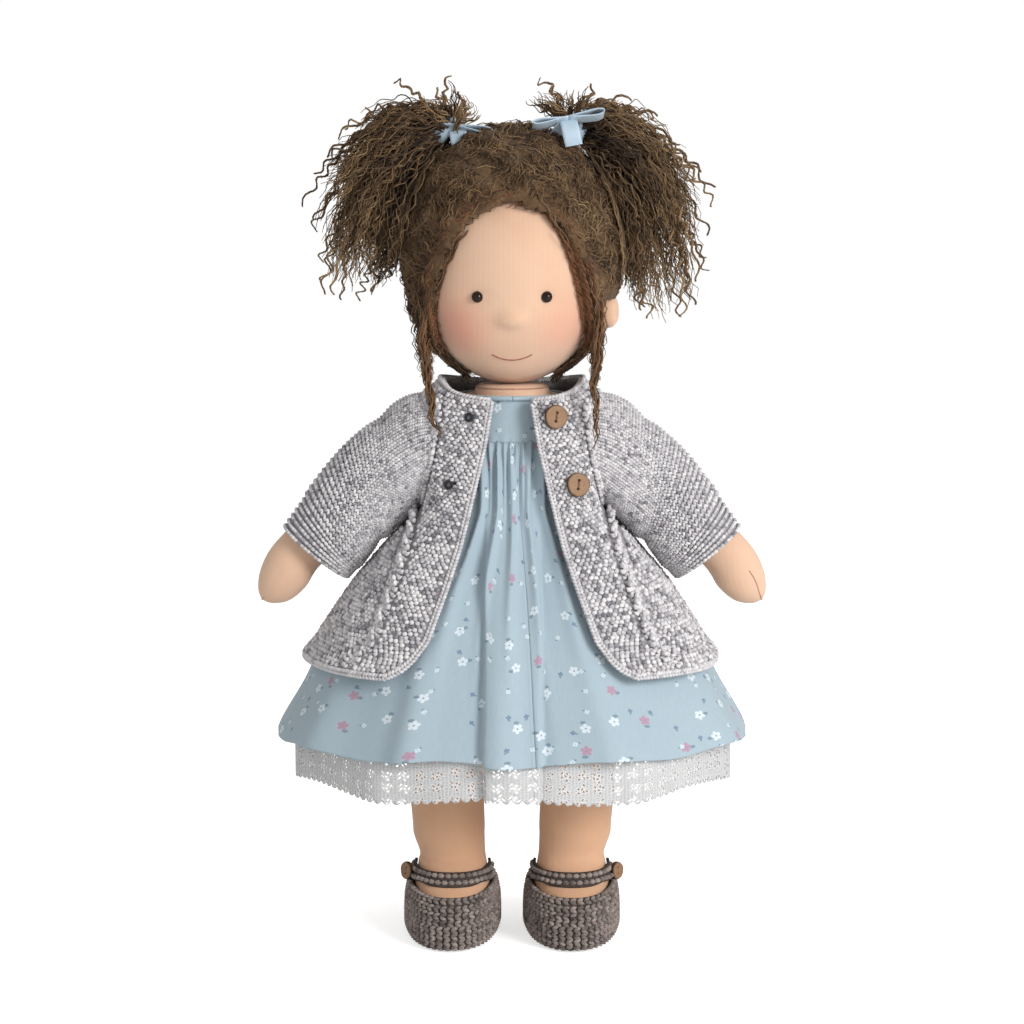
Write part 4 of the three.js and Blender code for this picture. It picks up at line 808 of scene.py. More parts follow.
def blurred(table, levels, reach):
    """A table's columns read at the given levels, their corners rounded over the given reach."""
    table = np.array(table, float)
    kernel = np.exp(-np.linspace(-2, 2, 9) ** 2)
    kernel /= kernel.sum()
    spread = np.linspace(-reach, reach, 9)
    return [sum(w * np.interp(levels + d, table[:, 0], column) for w, d in zip(kernel, spread))
            for column in table.T[1:]]


def trunk(z):
    width, depth = blurred(TRUNK, (np.asarray(z, float) - TRUNK_BOTTOM) / TRUNK_HEIGHT, 0.03)
    return TRUNK_WIDTH * width, TRUNK_DEPTH * depth


def level_point(angle, a, b, z, roundness=2.0):
    """A point of a rounded ring in the level plane at height z. Angle 0 faces the front."""
    s, c = rounded(angle, roundness)
    return np.stack(np.broadcast_arrays(a * s, -b * c, z), -1)


heights = np.concatenate([[106.1, 106.8], np.linspace(109, 253, 40), [256.0, 257.3]])[:, None]
torso = ringed("torso_skin", level_point(TURN, *trunk(heights), heights), skin, "torso")
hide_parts("torso")

# Dress
# Pale blue cotton with a scattered print of small white and pink flowers. A plain yoke has a bound neckline;
# the skirt is gathered to it by hand, so fine tucks at the seam open into broad folds, and its hem is turned
# up. Each row of the clothes' outline: height, half-width, half-depth and roundness.
OUTLINE = [(60, 114.4, 87.4, 2.15), (97, 114.4, 87.4, 2.15), (134, 97.5, 73, 2.2), (169.6, 73.97, 56, 2.4),
           (206, 42.4, 42, 3), (231.5, 42.4, 35, 3.4), (257, 42.4, 29.15, 2.6), (263.5, 34, 26, 2.2),
           (275, 30, 24, 2.2)]
SKIRT_HEM, YOKE_SEAM, YOKE_TOP = 97.0, 236.7, 256.0
LAYER = 3.4
SHOULDER_HEIGHT, ARMHOLE_RADIUS = 231.5, 25.6
FRONT_SEAM = math.radians(5.6)
# Each scatter of flowers: cell and size in millimetres, petals, shift, share of the cells, and its two
# colours.
FLOWERS = [(13.5, 4.6, 5, (0.0, 0.0, 0.0), 0.66, "#d6e0e6", "#b58fa3"),
           (8.5, 2.2, 4, (0.043, 0.021, 0.0), 0.42, "#cfdbe2", "#7388a0")]


def outline(z):
    return blurred(OUTLINE, np.asarray(z, float), 6.0)


def front_pleats(angle, z):
    """Two pressed-in pleats that leave a raised panel between them down the front."""
    across = outline(z)[0] * np.sin(angle)
    depth = (1 - ease(z, 176, 206)) * (np.cos(angle) > 0)
    steps = []
    for gap, deep in ((across + 14.9, 4.8), (15.6 - across, 3.2)):
        slope = np.exp(np.minimum(gap, 0) / (1.9 * deep))
        steps.append(deep * np.where(gap > 0, np.exp(-(gap / 1.1) ** 2), slope))
    return depth * sum(steps)


def between(angle, *degrees):
    """A step up and down again round the front seam, its four corners in degrees."""
    a, b, c, d = map(math.radians, degrees)
    return ease(angle, a, b) * (1 - ease(angle, c, d))


def fold_wave(t, lean):
    """Folds from 0 to 1 that lean to one side."""
    return 0.5 - 0.5 * np.cos(t + lean * np.sin(t))


def skirt_fold(angle, z):
    """How far the dress lies inside its outline: broad folds low down, gathers under the seam."""
    low = 1 - ease(z, SKIRT_HEM, 205)
    broad = fold_wave(11 * angle + 1.1 * np.sin(2 * angle) + 0.9 * np.sin(3 * angle + 1)
                      + 0.004 * (z - 97), 0.55)
    middle = fold_wave(27 * angle + 2.3 * np.sin(4 * angle) + 0.5 * np.sin(z * 0.05), 0.7)
    fine = fold_wave(56 * angle + 3.4 * np.sin(7 * angle) + 2.6 * np.sin(3 * angle + 0.7), 0.4)
    facing = np.cos(angle) ** 2
    middle_part = ease(z, 110, 190) * (1 - ease(z, 222, 236)) * 3.0 * facing
    fine_part = ease(z, 188, 230) * (1 - 0.5 * ease(z, 232, YOKE_SEAM)) * 2.0 * facing
    return (broad * 5.2 * low * (0.4 + 0.6 * facing) + middle * middle_part + fine * fine_part
            + 0.3 * low * middle + low * between(angle, -11, 4, 4.6, 6.6) + front_pleats(angle, z))


def skirt_point(angle, z):
    a, b, _ = outline(z)
    a, b = a - LAYER, b - LAYER
    b = b + (trunk(z)[1] + 4.3 - b) * ease(z, 223.9, YOKE_SEAM)
    tuck = ease(z, YOKE_SEAM - 4.5, YOKE_SEAM + 0.6) * 2.6
    flare = 3.0 * (1 - ease(z, SKIRT_HEM, 125))
    fold = skirt_fold(angle, z)
    point = level_point(angle, a - tuck * 0.2 + flare - fold, b - tuck - fold, z)
    point[..., 2] -= 1.2 * (1 - ease(z, SKIRT_HEM, 150)) * np.sin(9 * angle + 1.2)
    return point


def run_along(line):
    """The distance along a line at each of its points."""
    return np.concatenate([[0], np.cumsum(np.linalg.norm(np.diff(line, axis=0), axis=-1))])


def unrolled(grid, round_u=False):
    """The u and v of a grid in millimetres along its rows and columns, from its middle column."""
    if round_u:
        return unrolled(np.concatenate([grid, grid[:, :1]], 1))[:, :-1]
    across = np.linalg.norm(np.diff(grid, axis=1), axis=-1)
    u = np.concatenate([np.zeros((grid.shape[0], 1)), np.cumsum(across, 1)], 1)
    u -= u[:, [grid.shape[1] // 2]]
    up = np.linalg.norm(np.diff(grid, axis=0), axis=-1)
    return np.stack([u, np.concatenate([np.zeros((1, grid.shape[1])), np.cumsum(up, 0)], 0)], -1)


def cloth(name, grid, thickness, material, body=None, drop=None, round_u=False, uv=None):
    """A sheet of even thickness from a grid of points on its outer side. drop marks points to cut away."""
    faces = grid_faces(*grid.shape[:2], round_u)
    if drop is not None:
        faces = faces[~drop(grid).ravel()[faces].all(1)]
    uv = unrolled(grid, round_u) if uv is None else uv
    made = walled(new_mesh(name, grid, faces, material, uv=uv.reshape(-1, 2)), thickness)
    if body:
        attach(made, body)
    return made


def in_armhole(p):
    return (np.abs(p[..., 0]) > 33) & (np.hypot(p[..., 1], p[..., 2] - SHOULDER_HEIGHT) < ARMHOLE_RADIUS)


def weave_bump(tree, place, pitch, strength, distance):
    """The threads of a plain weave, from a place in metres whose x and y run along the cloth. The pitch, in
    millimetres, is coarser than a real lawn's 0.25 so that it shows."""
    waves = [add_node(tree, "TexWave", get="Fac", Vector=place, Scale=0.314 / (pitch * 0.001), Distortion=0.6,
                      Detail=2.0, Detail_Scale=1.0, bands_direction=axis) for axis in "XY"]
    height = add_node(tree, "Math", *waves, operation="MAXIMUM")
    return add_node(tree, "Bump", Height=height, Strength=strength, Distance=distance), height


def cells(tree, place, scale, randomness):
    """A loose mosaic: the way from the middle of each cell (x, y and distance) and the cell's colour."""
    mosaic = add_node(tree, "TexVoronoi", get="Position", Vector=place, Scale=scale, Randomness=randomness,
                      voronoi_dimensions="2D")
    offset = add_node(tree, "VectorMath", place, mosaic, operation="SUBTRACT")
    x = add_node(tree, "SeparateXYZ", offset)
    far = add_node(tree, "VectorMath", offset, get="Value", operation="LENGTH")
    return {"x": x, "y": x.node.outputs[1], "far": far}, mosaic.node.outputs["Color"]


def flower_layer(tree, place, cell, size, petals, shift, share):
    """A scatter of small flowers, each with a leaf beside it, in a share of the cells of a loose mosaic."""
    moved = add_node(tree, "VectorMath", place, shift, operation="ADD")
    known, colour = cells(tree, moved, 1 / (cell * 0.001), 0.62)
    picks = add_node(tree, "SeparateColor", colour).node.outputs
    known.update(pick_0=picks[0], pick_1=picks[1], pick_2=picks[2])
    for key, operation, *terms in (
            ("angle", "ARCTAN2", "y", "x"), ("turned", "MULTIPLY_ADD", "pick_1", 6.28, "angle"),
            ("wave", "MULTIPLY", "turned", petals / 2), ("wave", "SINE", "wave"), ("wave", "ABSOLUTE", "wave"),
            ("wave", "POWER", "wave", 0.6), ("edge", "MULTIPLY_ADD", "wave", size * 0.00026, size * 0.00024),
            ("inside", "LESS_THAN", "far", "edge"), ("heart", "LESS_THAN", "far", size * 0.00009),
            ("chosen", "LESS_THAN", "pick_0", share), ("flower", "MULTIPLY", "inside", "chosen"),
            ("way", "MULTIPLY", "pick_2", 6.28), ("cosine", "COSINE", "way"), ("sine", "SINE", "way"),
            ("leaf_x", "MULTIPLY", "cosine", size * 0.00062), ("leaf_x", "SUBTRACT", "x", "leaf_x"),
            ("leaf_y", "MULTIPLY", "sine", size * 0.00062), ("leaf_y", "SUBTRACT", "y", "leaf_y"),
            ("leaf_x", "MULTIPLY", "leaf_x", "leaf_x"), ("leaf_y", "MULTIPLY", "leaf_y", "leaf_y"),
            ("leaf_y", "MULTIPLY", "leaf_y", 2.6), ("leaf", "ADD", "leaf_x", "leaf_y"),
            ("leaf", "SQRT", "leaf"),
            ("leaf", "LESS_THAN", "leaf", size * 0.00026), ("leaf", "MULTIPLY", "leaf", "chosen"),
            ("heart", "MULTIPLY", "heart", "chosen")):
        known[key] = add_node(tree, "Math", *(known.get(term, term) for term in terms), operation=operation)
    return known["flower"], known["heart"], known["leaf"], known["pick_2"]


def cotton_print():
    """Matt woven cotton: slubs along the threads, faded clouds, the printed flowers, and painted shade in the
    gaps between the threads.
    """
    made, tree = new_material("dress_cotton")
    place = add_node(tree, "UVMap")
    stretched = add_node(tree, "Mapping", Vector=place, Scale=(3.0, 0.5, 1.0))
    normal, threads = weave_bump(tree, place, 0.42, 0.35, 0.00012)
    slub = add_node(tree, "TexNoise", Vector=stretched, Scale=420.0, Detail=4.0)
    cloud = add_node(tree, "TexNoise", Vector=place, Scale=30.0, Detail=2.0)
    cloud = add_node(tree, "Math", cloud, 0.5, operation="MULTIPLY")
    # The gaps between the threads are darkened as painted shade.
    gap_shade = add_node(tree, "Math", 1.0, threads, operation="SUBTRACT")
    gap_shade = add_node(tree, "Math", gap_shade, 0.25, operation="MULTIPLY")
    layers = [(slub, "#b2c2ca"), (cloud, "#9db0bb")]
    for cell, size, petals, shift, share, first, second in FLOWERS:
        flower, heart, leaf, pick = flower_layer(tree, place, cell, size, petals, shift, share)
        pick = add_node(tree, "Math", pick, 0.68, operation="GREATER_THAN")
        tint = add_node(tree, "Mix", pick, get=2, _6=first, _7=second, data_type="RGBA")
        layers += [(leaf, "#7c909d"), (flower, tint), (heart, "#8b98a2")]
    base = "#9fb1bb"
    for factor, colour in [*layers, (gap_shade, "#8fa5b1")]:
        base = add_node(tree, "Mix", factor, get=2, _6=base, _7=colour, data_type="RGBA")
    return surfaced(made, Base_Color=base, Roughness=0.82, Sheen_Weight=0.2, Specular_IOR_Level=0.25,
                    Normal=normal)


def points_of(made):
    """A mesh object's points, in millimetres."""
    points = np.empty(len(made.data.vertices) * 3)
    made.data.vertices.foreach_get("co", points)
    return points.reshape(-1, 3) * 1000


def skirt_half(name, side, point_at, levels, columns, thickness, material, drop=None):
    """One half of a skirt between the front fold and the seam at the back."""
    ends = (FRONT_SEAM, math.pi) if side > 0 else (-math.pi, FRONT_SEAM)
    angles = np.linspace(*ends, columns)
    grid = point_at(*np.meshgrid(angles, levels))
    uv = unrolled(grid)
    reference = np.linspace(-math.pi, math.pi, 721)
    uv[..., 0] = np.interp(angles, reference, run_along(point_at(reference, np.full(721, 150.0))))
    made = cloth(name, grid, thickness, material, drop=drop, uv=uv)
    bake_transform(made)
    x, y, z = points_of(made).T
    return made


cotton = cotton_print()
levels = np.concatenate([[SKIRT_HEM], np.linspace(SKIRT_HEM + 0.8, 200, 38),
                         np.linspace(201.5, YOKE_SEAM + 0.6, 20)])
for side, name in SIDES:
    skirt_half(f"skirt_{name}", side, skirt_point, levels, 270, 0.5, cotton,
                              in_armhole)
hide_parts("dress_skirt")


# Yoke: plain cloth over the chest and back, with a narrow binding at the neck.
def over_trunk(angle, z, pucker):
    a, b = trunk(z)
    return level_point(angle, a + 1.5 + pucker, b + 1.5 + pucker, z)


a, z = np.meshgrid(around(220), np.linspace(YOKE_SEAM - 0.4, YOKE_TOP, 26))
pucker = 0.25 * np.sin(37 * a + 2 * np.sin(5 * a)) * (1 - ease(z, YOKE_SEAM, YOKE_SEAM + 5))
grid = over_trunk(a, z, pucker)
uv = unrolled(grid, True) + np.array([0.0, 147.0])
uv[..., 0] = uv[12, :, 0]
yoke = cloth("yoke", grid, 0.5, cotton, "torso", in_armhole, True, uv)
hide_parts("dress_yoke")

ring = level_point(np.linspace(0, 2 * math.pi, 161), 25.0, 22.3, 256.6)
uv = np.stack([np.repeat(np.arange(161), 12) * 0.92, np.tile(np.linspace(0, 6.6, 12), 161)], 1)
binding = new_mesh("neck_binding", *tubes(ring[None], 1.15, 12), cotton, uv=uv)
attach(binding, "torso")
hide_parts("dress_neck_binding")

# Petticoat
# White cotton on an elastic at the waist, with a wide border of eyelet lace below the dress's hem. The lace's
# edge is scalloped.
PETTICOAT_HEM, BORDER_TOP, PETTICOAT_TOP = 77.5, 101.0, 199.0
PETAL_TURN, PETAL_REACH, HOLE, RING, NET = 1.2566, 0.0016, 0.00042, 0.00085, 0.0009


def petticoat_point(angle, z, inset=0.0):
    level = np.maximum(z, SKIRT_HEM)
    a, b, _ = outline(level)
    low = 1 - ease(level, SKIRT_HEM, 200)
    own = 3.4 * low * fold_wave(9 * angle + 0.8 * np.sin(2 * angle + 0.4), 0.5)
    skirt_in = 5.6 * low + 2.6 * (1 - low)
    step = low * between(angle, -13, 3.5, 4.4, 6.8)
    inward = LAYER + 1.2 + skirt_in + own + step + front_pleats(angle, z) + inset
    least_a, least_b = trunk(z)
    out = level_point(angle, np.maximum(a - inward, least_a + 2.4), np.maximum(b - inward, least_b + 2.4), z)
    out[..., 2] += 1.6 * (1 - ease(z, PETTICOAT_HEM, 110)) * np.sin(6 * angle + 2.0)
    return out


def eyelet_cotton(name, lace):
    """Thin white cotton lawn, painted light grey as the shade under the dress. The lace has eyelets of five
    petals, worked edges and a fine net.
    """
    made, tree = new_material(name)
    place = add_node(tree, "UVMap")
    cloud = add_node(tree, "TexNoise", Vector=place, Scale=160.0, Detail=4.0)
    # The white cotton's colour is a light grey: painted shade for the dress's shadow over it.
    base = add_node(tree, "Mix", cloud, get=2, _6="#c3c3c3", _7="#d8d7d6", data_type="RGBA")
    normal, _ = weave_bump(tree, place, 0.4, 0.3, 0.0001)
    if lace:
        known, _ = cells(tree, place, 1 / 0.0062, 0.25)
        known["thread"] = add_node(tree, "TexVoronoi", Vector=place, Scale=1 / 0.0013, Randomness=0.35,
                                   voronoi_dimensions="2D", feature="DISTANCE_TO_EDGE")
        for key, operation, *terms in (
                ("angle", "ARCTAN2", "y", "x"), ("petal", "DIVIDE", "angle", PETAL_TURN),
                ("petal", "ROUND", "petal"), ("petal", "MULTIPLY", "petal", PETAL_TURN),
                ("px", "COSINE", "petal"), ("px", "MULTIPLY", "px", PETAL_REACH), ("px", "SUBTRACT", "x", "px"),
                ("py", "SINE", "petal"), ("py", "MULTIPLY", "py", PETAL_REACH), ("py", "SUBTRACT", "y", "py"),
                ("px", "MULTIPLY", "px", "px"), ("py", "MULTIPLY", "py", "py"), ("near", "ADD", "px", "py"),
                ("near", "SQRT", "near"), ("near", "MINIMUM", "near", "far"),
                ("hole", "LESS_THAN", "near", HOLE),
                ("ring", "GREATER_THAN", "near", HOLE), ("rim", "LESS_THAN", "near", RING),
                ("ring", "MULTIPLY", "ring", "rim"), ("net", "GREATER_THAN", "thread", 0.24),
                ("away", "GREATER_THAN", "near", NET), ("net", "MULTIPLY", "net", "away"),
                ("raised", "MULTIPLY", "ring", 1.0), ("sunk", "MULTIPLY", "net", 0.6),
                ("height", "SUBTRACT", "raised", "sunk"), ("shade", "MULTIPLY", "net", 0.45),
                ("solid", "SUBTRACT", 1.0, "hole")):
            known[key] = add_node(tree, "Math", *(known.get(term, term) for term in terms), operation=operation)
        normal = add_node(tree, "Bump", Height=known["height"], Strength=0.8, Distance=0.0004, Normal=normal)
        for factor, colour in ((known["shade"], "#9b9ea5"), (known["ring"], "#dededd")):
            base = add_node(tree, "Mix", factor, get=2, _6=base, _7=colour, data_type="RGBA")
        surfaced(made, Alpha=known["solid"])
    return surfaced(made, Base_Color=base, Roughness=0.85, Sheen_Weight=0.2, Specular_IOR_Level=0.2,
                    Normal=normal)


def border_point(angle, z):
    share = np.clip((z - PETTICOAT_HEM) / (BORDER_TOP - PETTICOAT_HEM), 0, 1)
    scallop = 1.7 * np.abs(np.sin(68 * angle)) ** 0.8
    return petticoat_point(angle, z + (1.7 - scallop) * (1 - share) ** 3, -0.6)


lawn = eyelet_cotton("petticoat_cotton", False)
lace = eyelet_cotton("petticoat_lace", True)
upper, lower = np.linspace(BORDER_TOP - 2, PETTICOAT_TOP, 30), np.linspace(PETTICOAT_HEM, BORDER_TOP, 16)
for side, name in SIDES:
    petticoat = skirt_half(f"petticoat_{name}", side, petticoat_point, upper, 200, 0.4, lawn)
    border = skirt_half(f"petticoat_border_{name}", side, border_point, lower, 820, 0.45, lace)
    if name == "left":
        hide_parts("petticoat")
        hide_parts("petticoat_border")

a, z = np.meshgrid(around(240), np.linspace(193, PETTICOAT_TOP, 8))
elastic = cloth("elastic_band", over_trunk(a, z, 0.35 * np.sin(60 * a)), 0.8, lawn, "torso", round_u=True)
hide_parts("petticoat_elastic")

# Cardigan
# Hand-knitted in a marled grey cotton yarn: moss stitch on the body, a cable beside each front band, stocking
# stitch with garter cuffs on the raglan sleeves, and a rolled chain edge. Every stitch is a piece of yarn.
CARDIGAN_HEM, NECK_FRONT = 134.0, 255.0
# Each row of the front opening: share of the height and of the way it opens.
OPENING = [(0, 1), (0.025, 0.86), (0.06, 0.76), (0.13, 0.62), (0.3, 0.45), (0.46, 0.31), (0.64, 0.19),
           (0.83, 0.075), (1, 0)]
BAND = 16.0
BUTTONHOLES = [(-19.8, 248.5), (-29.3, 218.0)]
KNIT_ROWS, KNIT_PITCH = 76, 2.6
STITCH_BEND, LEVEL_STEP, LINE_STEPS = 0.25, 1e-3, 900


def yarn_material(name, dark, middle, light, sheen=0.5):
    """Marled yarn: plies of three tones wound round each other, fuzzy at the edge and darker in some stitches.
    The plies' grain is drawn coarser than real so that it shows."""
    made, tree = new_material(name)
    tone = add_node(tree, "Attribute", get="Fac", attribute_name="tone")
    place = add_node(tree, "TexCoord", get="Object")
    plies = add_node(tree, "TexNoise", Vector=place, Scale=1500.0, Detail=2.0)
    patch = add_node(tree, "TexNoise", Vector=place, Scale=330.0, Detail=2.0)
    value = add_node(tree, "Math", patch, 0.35, operation="MULTIPLY")
    value = add_node(tree, "Math", plies, 0.45, value, operation="MULTIPLY_ADD")
    value = add_node(tree, "Math", tone, 0.4, value, operation="MULTIPLY_ADD")
    colour = add_node(tree, "ValToRGB", value, stops=((0.38, dark), (0.56, middle), (0.78, light)))
    return surfaced(made, Base_Color=colour, Roughness=0.9, Sheen_Weight=sheen, Sheen_Roughness=0.4,
                    Specular_IOR_Level=0.15,
                    Normal=add_node(tree, "Bump", Height=plies, Strength=0.5, Distance=0.0003))


def stitch_tree():
    """Sets one short bent piece of yarn on every point, turned and sized by the point's attributes."""
    tree = bpy.data.node_groups.new("stitches", "GeometryNodeTree")
    for name, kind, way in (("Points", "NodeSocketGeometry", "INPUT"), ("Yarn", "NodeSocketMaterial", "INPUT"),
                            ("Stitches", "NodeSocketGeometry", "OUTPUT")):
        tree.interface.new_socket(name, in_out=way, socket_type=kind)
    given = tree.nodes.new("NodeGroupInput").outputs
    along, out, size = (add_node(tree, "GeometryNodeInputNamedAttribute", Name=key, data_type="FLOAT_VECTOR")
                        for key in ("along", "out", "size"))
    bean = add_node(tree, "GeometryNodeMeshUVSphere", Segments=6, Rings=3, Radius=1.0)
    x = add_node(tree, "SeparateXYZ", add_node(tree, "GeometryNodeInputPosition"))
    sink = add_node(tree, "Math", x, x, operation="MULTIPLY")
    sink = add_node(tree, "Math", sink, -STITCH_BEND, operation="MULTIPLY")
    bent = add_node(tree, "GeometryNodeSetPosition", Geometry=bean, Offset=add_node(tree, "CombineXYZ", Z=sink))
    turn = add_node(tree, "FunctionNodeAxesToRotation", out, along, primary_axis="Z", secondary_axis="X")
    many = add_node(tree, "GeometryNodeInstanceOnPoints", Points=given["Points"], Instance=bent, Rotation=turn,
                    Scale=size)
    real = add_node(tree, "GeometryNodeRealizeInstances", many)
    smooth = add_node(tree, "GeometryNodeSetShadeSmooth", real)
    painted = add_node(tree, "GeometryNodeSetMaterial", Geometry=smooth, Material=given["Yarn"])
    tree.links.new(painted, tree.nodes.new("NodeGroupOutput").inputs[0])
    return tree


STITCH_TREE = stitch_tree()


def stitches(name, rows, material):
    """A piece made of many stitches. Each row: places, directions along and out, sizes (mm) and tones."""
    place, along, out, size, tone = (
        np.concatenate([np.broadcast_to(row[k], row[0].shape[:2 if k < 4 else 1]) for row in rows])
        for k in range(5))
    made = new_mesh(name, place, [])
    turned = {"along": along, "out": out, "size": size * 0.001}
    for key, values in turned.items():
        layer = made.data.attributes.new(key, "FLOAT_VECTOR", "POINT")
        layer.data.foreach_set("vector", values.astype(float).ravel())
    paint(made, tone=tone)
    scatter = made.modifiers.new("stitches", "NODES")
    scatter.node_group = STITCH_TREE
    for item in STITCH_TREE.interface.items_tree:
        if item.name == "Yarn":
            scatter[item.identifier] = material
    plain(made)
    for key in turned:
        if key in made.data.attributes:
            made.data.attributes.remove(made.data.attributes[key])
    return made


def tones(count, middle=0.5, spread=0.2):
    return np.clip(random.normal(middle, spread, count), 0, 1)


def stitch_rows(surface, levels, pitch):
    """Even stitches along rows of a surface. surface(t, level) gives points for t from 0 to 1."""
    found = []
    t = np.linspace(0, 1, LINE_STEPS)
    for k, level in enumerate(levels):
        line = surface(t, np.full(LINE_STEPS, level))
        up = surface(t, np.full(LINE_STEPS, level + LEVEL_STEP)) - line
        run = run_along(line)
        count = max(2, int(round(run[-1] / pitch)))
        at = (np.arange(count) + (0.25 if k % 2 else 0.75)) / (count + 0.5) * run[-1]
        share = np.interp(at, run, t)
        along = unit(read(share, t, np.gradient(line, axis=0)))
        rise = read(share, t, up)
        rise -= along * (rise * along).sum(1, keepdims=True)
        high = np.linalg.norm(rise, axis=1)
        rise = rise / (high[:, None] + 1e-12)
        found.append((read(share, t, line), along, rise, np.cross(along, rise), high / LEVEL_STEP))
    return [np.concatenate(column) for column in zip(*found)]


def away_from(inside, place, out):
    """Directions turned so that they point away from what lies inside."""
    return out * np.sign(((place - inside) * out).sum(1, keepdims=True))


def edge_height(angle, front, back, sides):
    """The height of an edge that has its own level in front, behind and at the sides."""
    side = np.sin(angle) ** 2
    return np.where(np.cos(angle) > 0, front, back) * (1 - side) + sides * side


def opening_x(level):
    return 10 + 47 * blurred(OPENING, (level - CARDIGAN_HEM) / (NECK_FRONT - CARDIGAN_HEM), 0.02)[0]


def angle_of(x, z):
    a, _, roundness = outline(z)
    return np.arcsin(np.minimum(1, x / a) ** (roundness / 2))


def cardigan_point(t, share, room=0.0):
    """The cardigan's outer side: t runs from its front edge at +x round the back to the other edge."""
    level = CARDIGAN_HEM + share * (NECK_FRONT - CARDIGAN_HEM)
    start = angle_of(opening_x(level), level)
    angle = start + t * (2 * math.pi - 2 * start)
    z = CARDIGAN_HEM + share * (edge_height(angle, NECK_FRONT, 260.5, 263.5) - CARDIGAN_HEM)
    a, b, roundness = outline(z)
    wave = 0.9 * (1 - ease(share, 0.0, 0.5)) * np.sin(7 * angle + 0.6)
    flare = 1.2 * (1 - ease(share, 0, 0.06))
    return level_point(angle, a + room + wave + flare, b + room + wave + flare, z, roundness)


def bored(made, path, radius, sides):
    """Drills a round hole along a path."""
    drill = new_mesh("drill", *tubes([path], radius, sides))
    cut = made.modifiers.new("hole", "BOOLEAN")
    cut.operation = "DIFFERENCE"
    cut.object = drill
    plain(made)
    bpy.data.objects.remove(drill)


yarn = yarn_material("grey_yarn", "#737077", "#c0bdc0", "#e6e3e3")
# The wall under the stitches of the body and sleeves is a darker copy of the grey yarn without sheen, as
# painted shade between the stitches.
yarn_under_shade = yarn_material("grey_yarn_under", "#7f7c82", "#a09da1", "#b9b6b9", 0.0)
edge_yarn = yarn_material("grey_yarn_edge", "#a3a0a4", "#c9c6c8", "#dedbdc")
# Near-black yarn for the buttonhole rings: painted shade for the dark of the holes.
hole_shade_yarn = yarn_material("grey_yarn_painted_shade", "#232126", "#363439", "#57545a", 0.0)

t, share = np.meshgrid(np.linspace(0, 1, 200), np.linspace(0, 1, 48))
cardigan = cloth("cardigan_wall", cardigan_point(t, share, -0.9), 1.3, yarn_under_shade, "torso", in_armhole)
for x, z in BUTTONHOLES:
    bored(cardigan, [(x, -60, z), (x * 0.8, -18, z)], 1.5, 14)
paint(cardigan, tone=0.4)
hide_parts("cardigan_body", "buttonhole_band", "button_band")

levels = (np.arange(KNIT_ROWS) + 0.5) / KNIT_ROWS
p, d, u, n, rise = stitch_rows(lambda t, s: cardigan_point(t, s, -0.35), levels, KNIT_PITCH)
count = len(p)
jitter = random.normal(0, 0.16, (count, 3))
edge_from = np.abs(p[:, 0]) - opening_x(np.clip(p[:, 2], CARDIGAN_HEM, NECK_FRONT))
front, left = p[:, 1] < 0, p[:, 0] < 0
cable = front & (edge_from > BAND + 4.4) & (edge_from < BAND + 12.2) & (p[:, 2] < 253.5)
keep = ~in_armhole(p) & ~(front & (edge_from < 1.8)) & ~cable
for x, z in BUTTONHOLES:
    keep &= ~(front & (np.hypot(p[:, 0] - x, p[:, 2] - z) < 3.0))
turn = random.normal(0, 0.28, count)[:, None]
along = d * np.cos(turn) + u * np.sin(turn)
size = np.stack([random.uniform(1.35, 1.6, count), rise / KNIT_ROWS * random.uniform(0.62, 0.74, count),
                 random.uniform(0.95, 1.25, count)], 1)
tone = tones(count, 0.52, 0.3)
for name, mask in (("front_left", front & left), ("front_right", front & ~left),
                   ("back_left", ~front & left), ("back_right", ~front & ~left)):
    m = keep & mask
    piece = stitches(f"knit_{name}", [((p + jitter)[m], along[m], n[m], size[m], tone[m])], yarn)
    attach(piece, "torso")

# Each buttonhole is ringed with short stitches of near-black yarn, as painted shade for the dark of the hole.
turn = around(10)[:, None]
outward = unit(np.array([-0.36, -0.93, 0.08]))
level_way = unit(np.cross([0.0, 0.0, 1.0], outward))
rise_way = np.cross(outward, level_way)
rows = []
for x, z in BUTTONHOLES:
    a, b, roundness = outline(z)
    middle = level_point(angle_of(abs(x), z), a - 0.3, b - 0.3, z, roundness) * np.array([-1, 1, 1])
    ring = middle + (np.cos(turn) * level_way + np.sin(turn) * rise_way) * 1.6
    rows.append((ring, np.cos(turn) * rise_way - np.sin(turn) * level_way, outward, [0.8, 0.75, 0.9], 0.4))
worked = stitches("buttonhole_stitches", rows, hole_shade_yarn)
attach(worked, "torso")

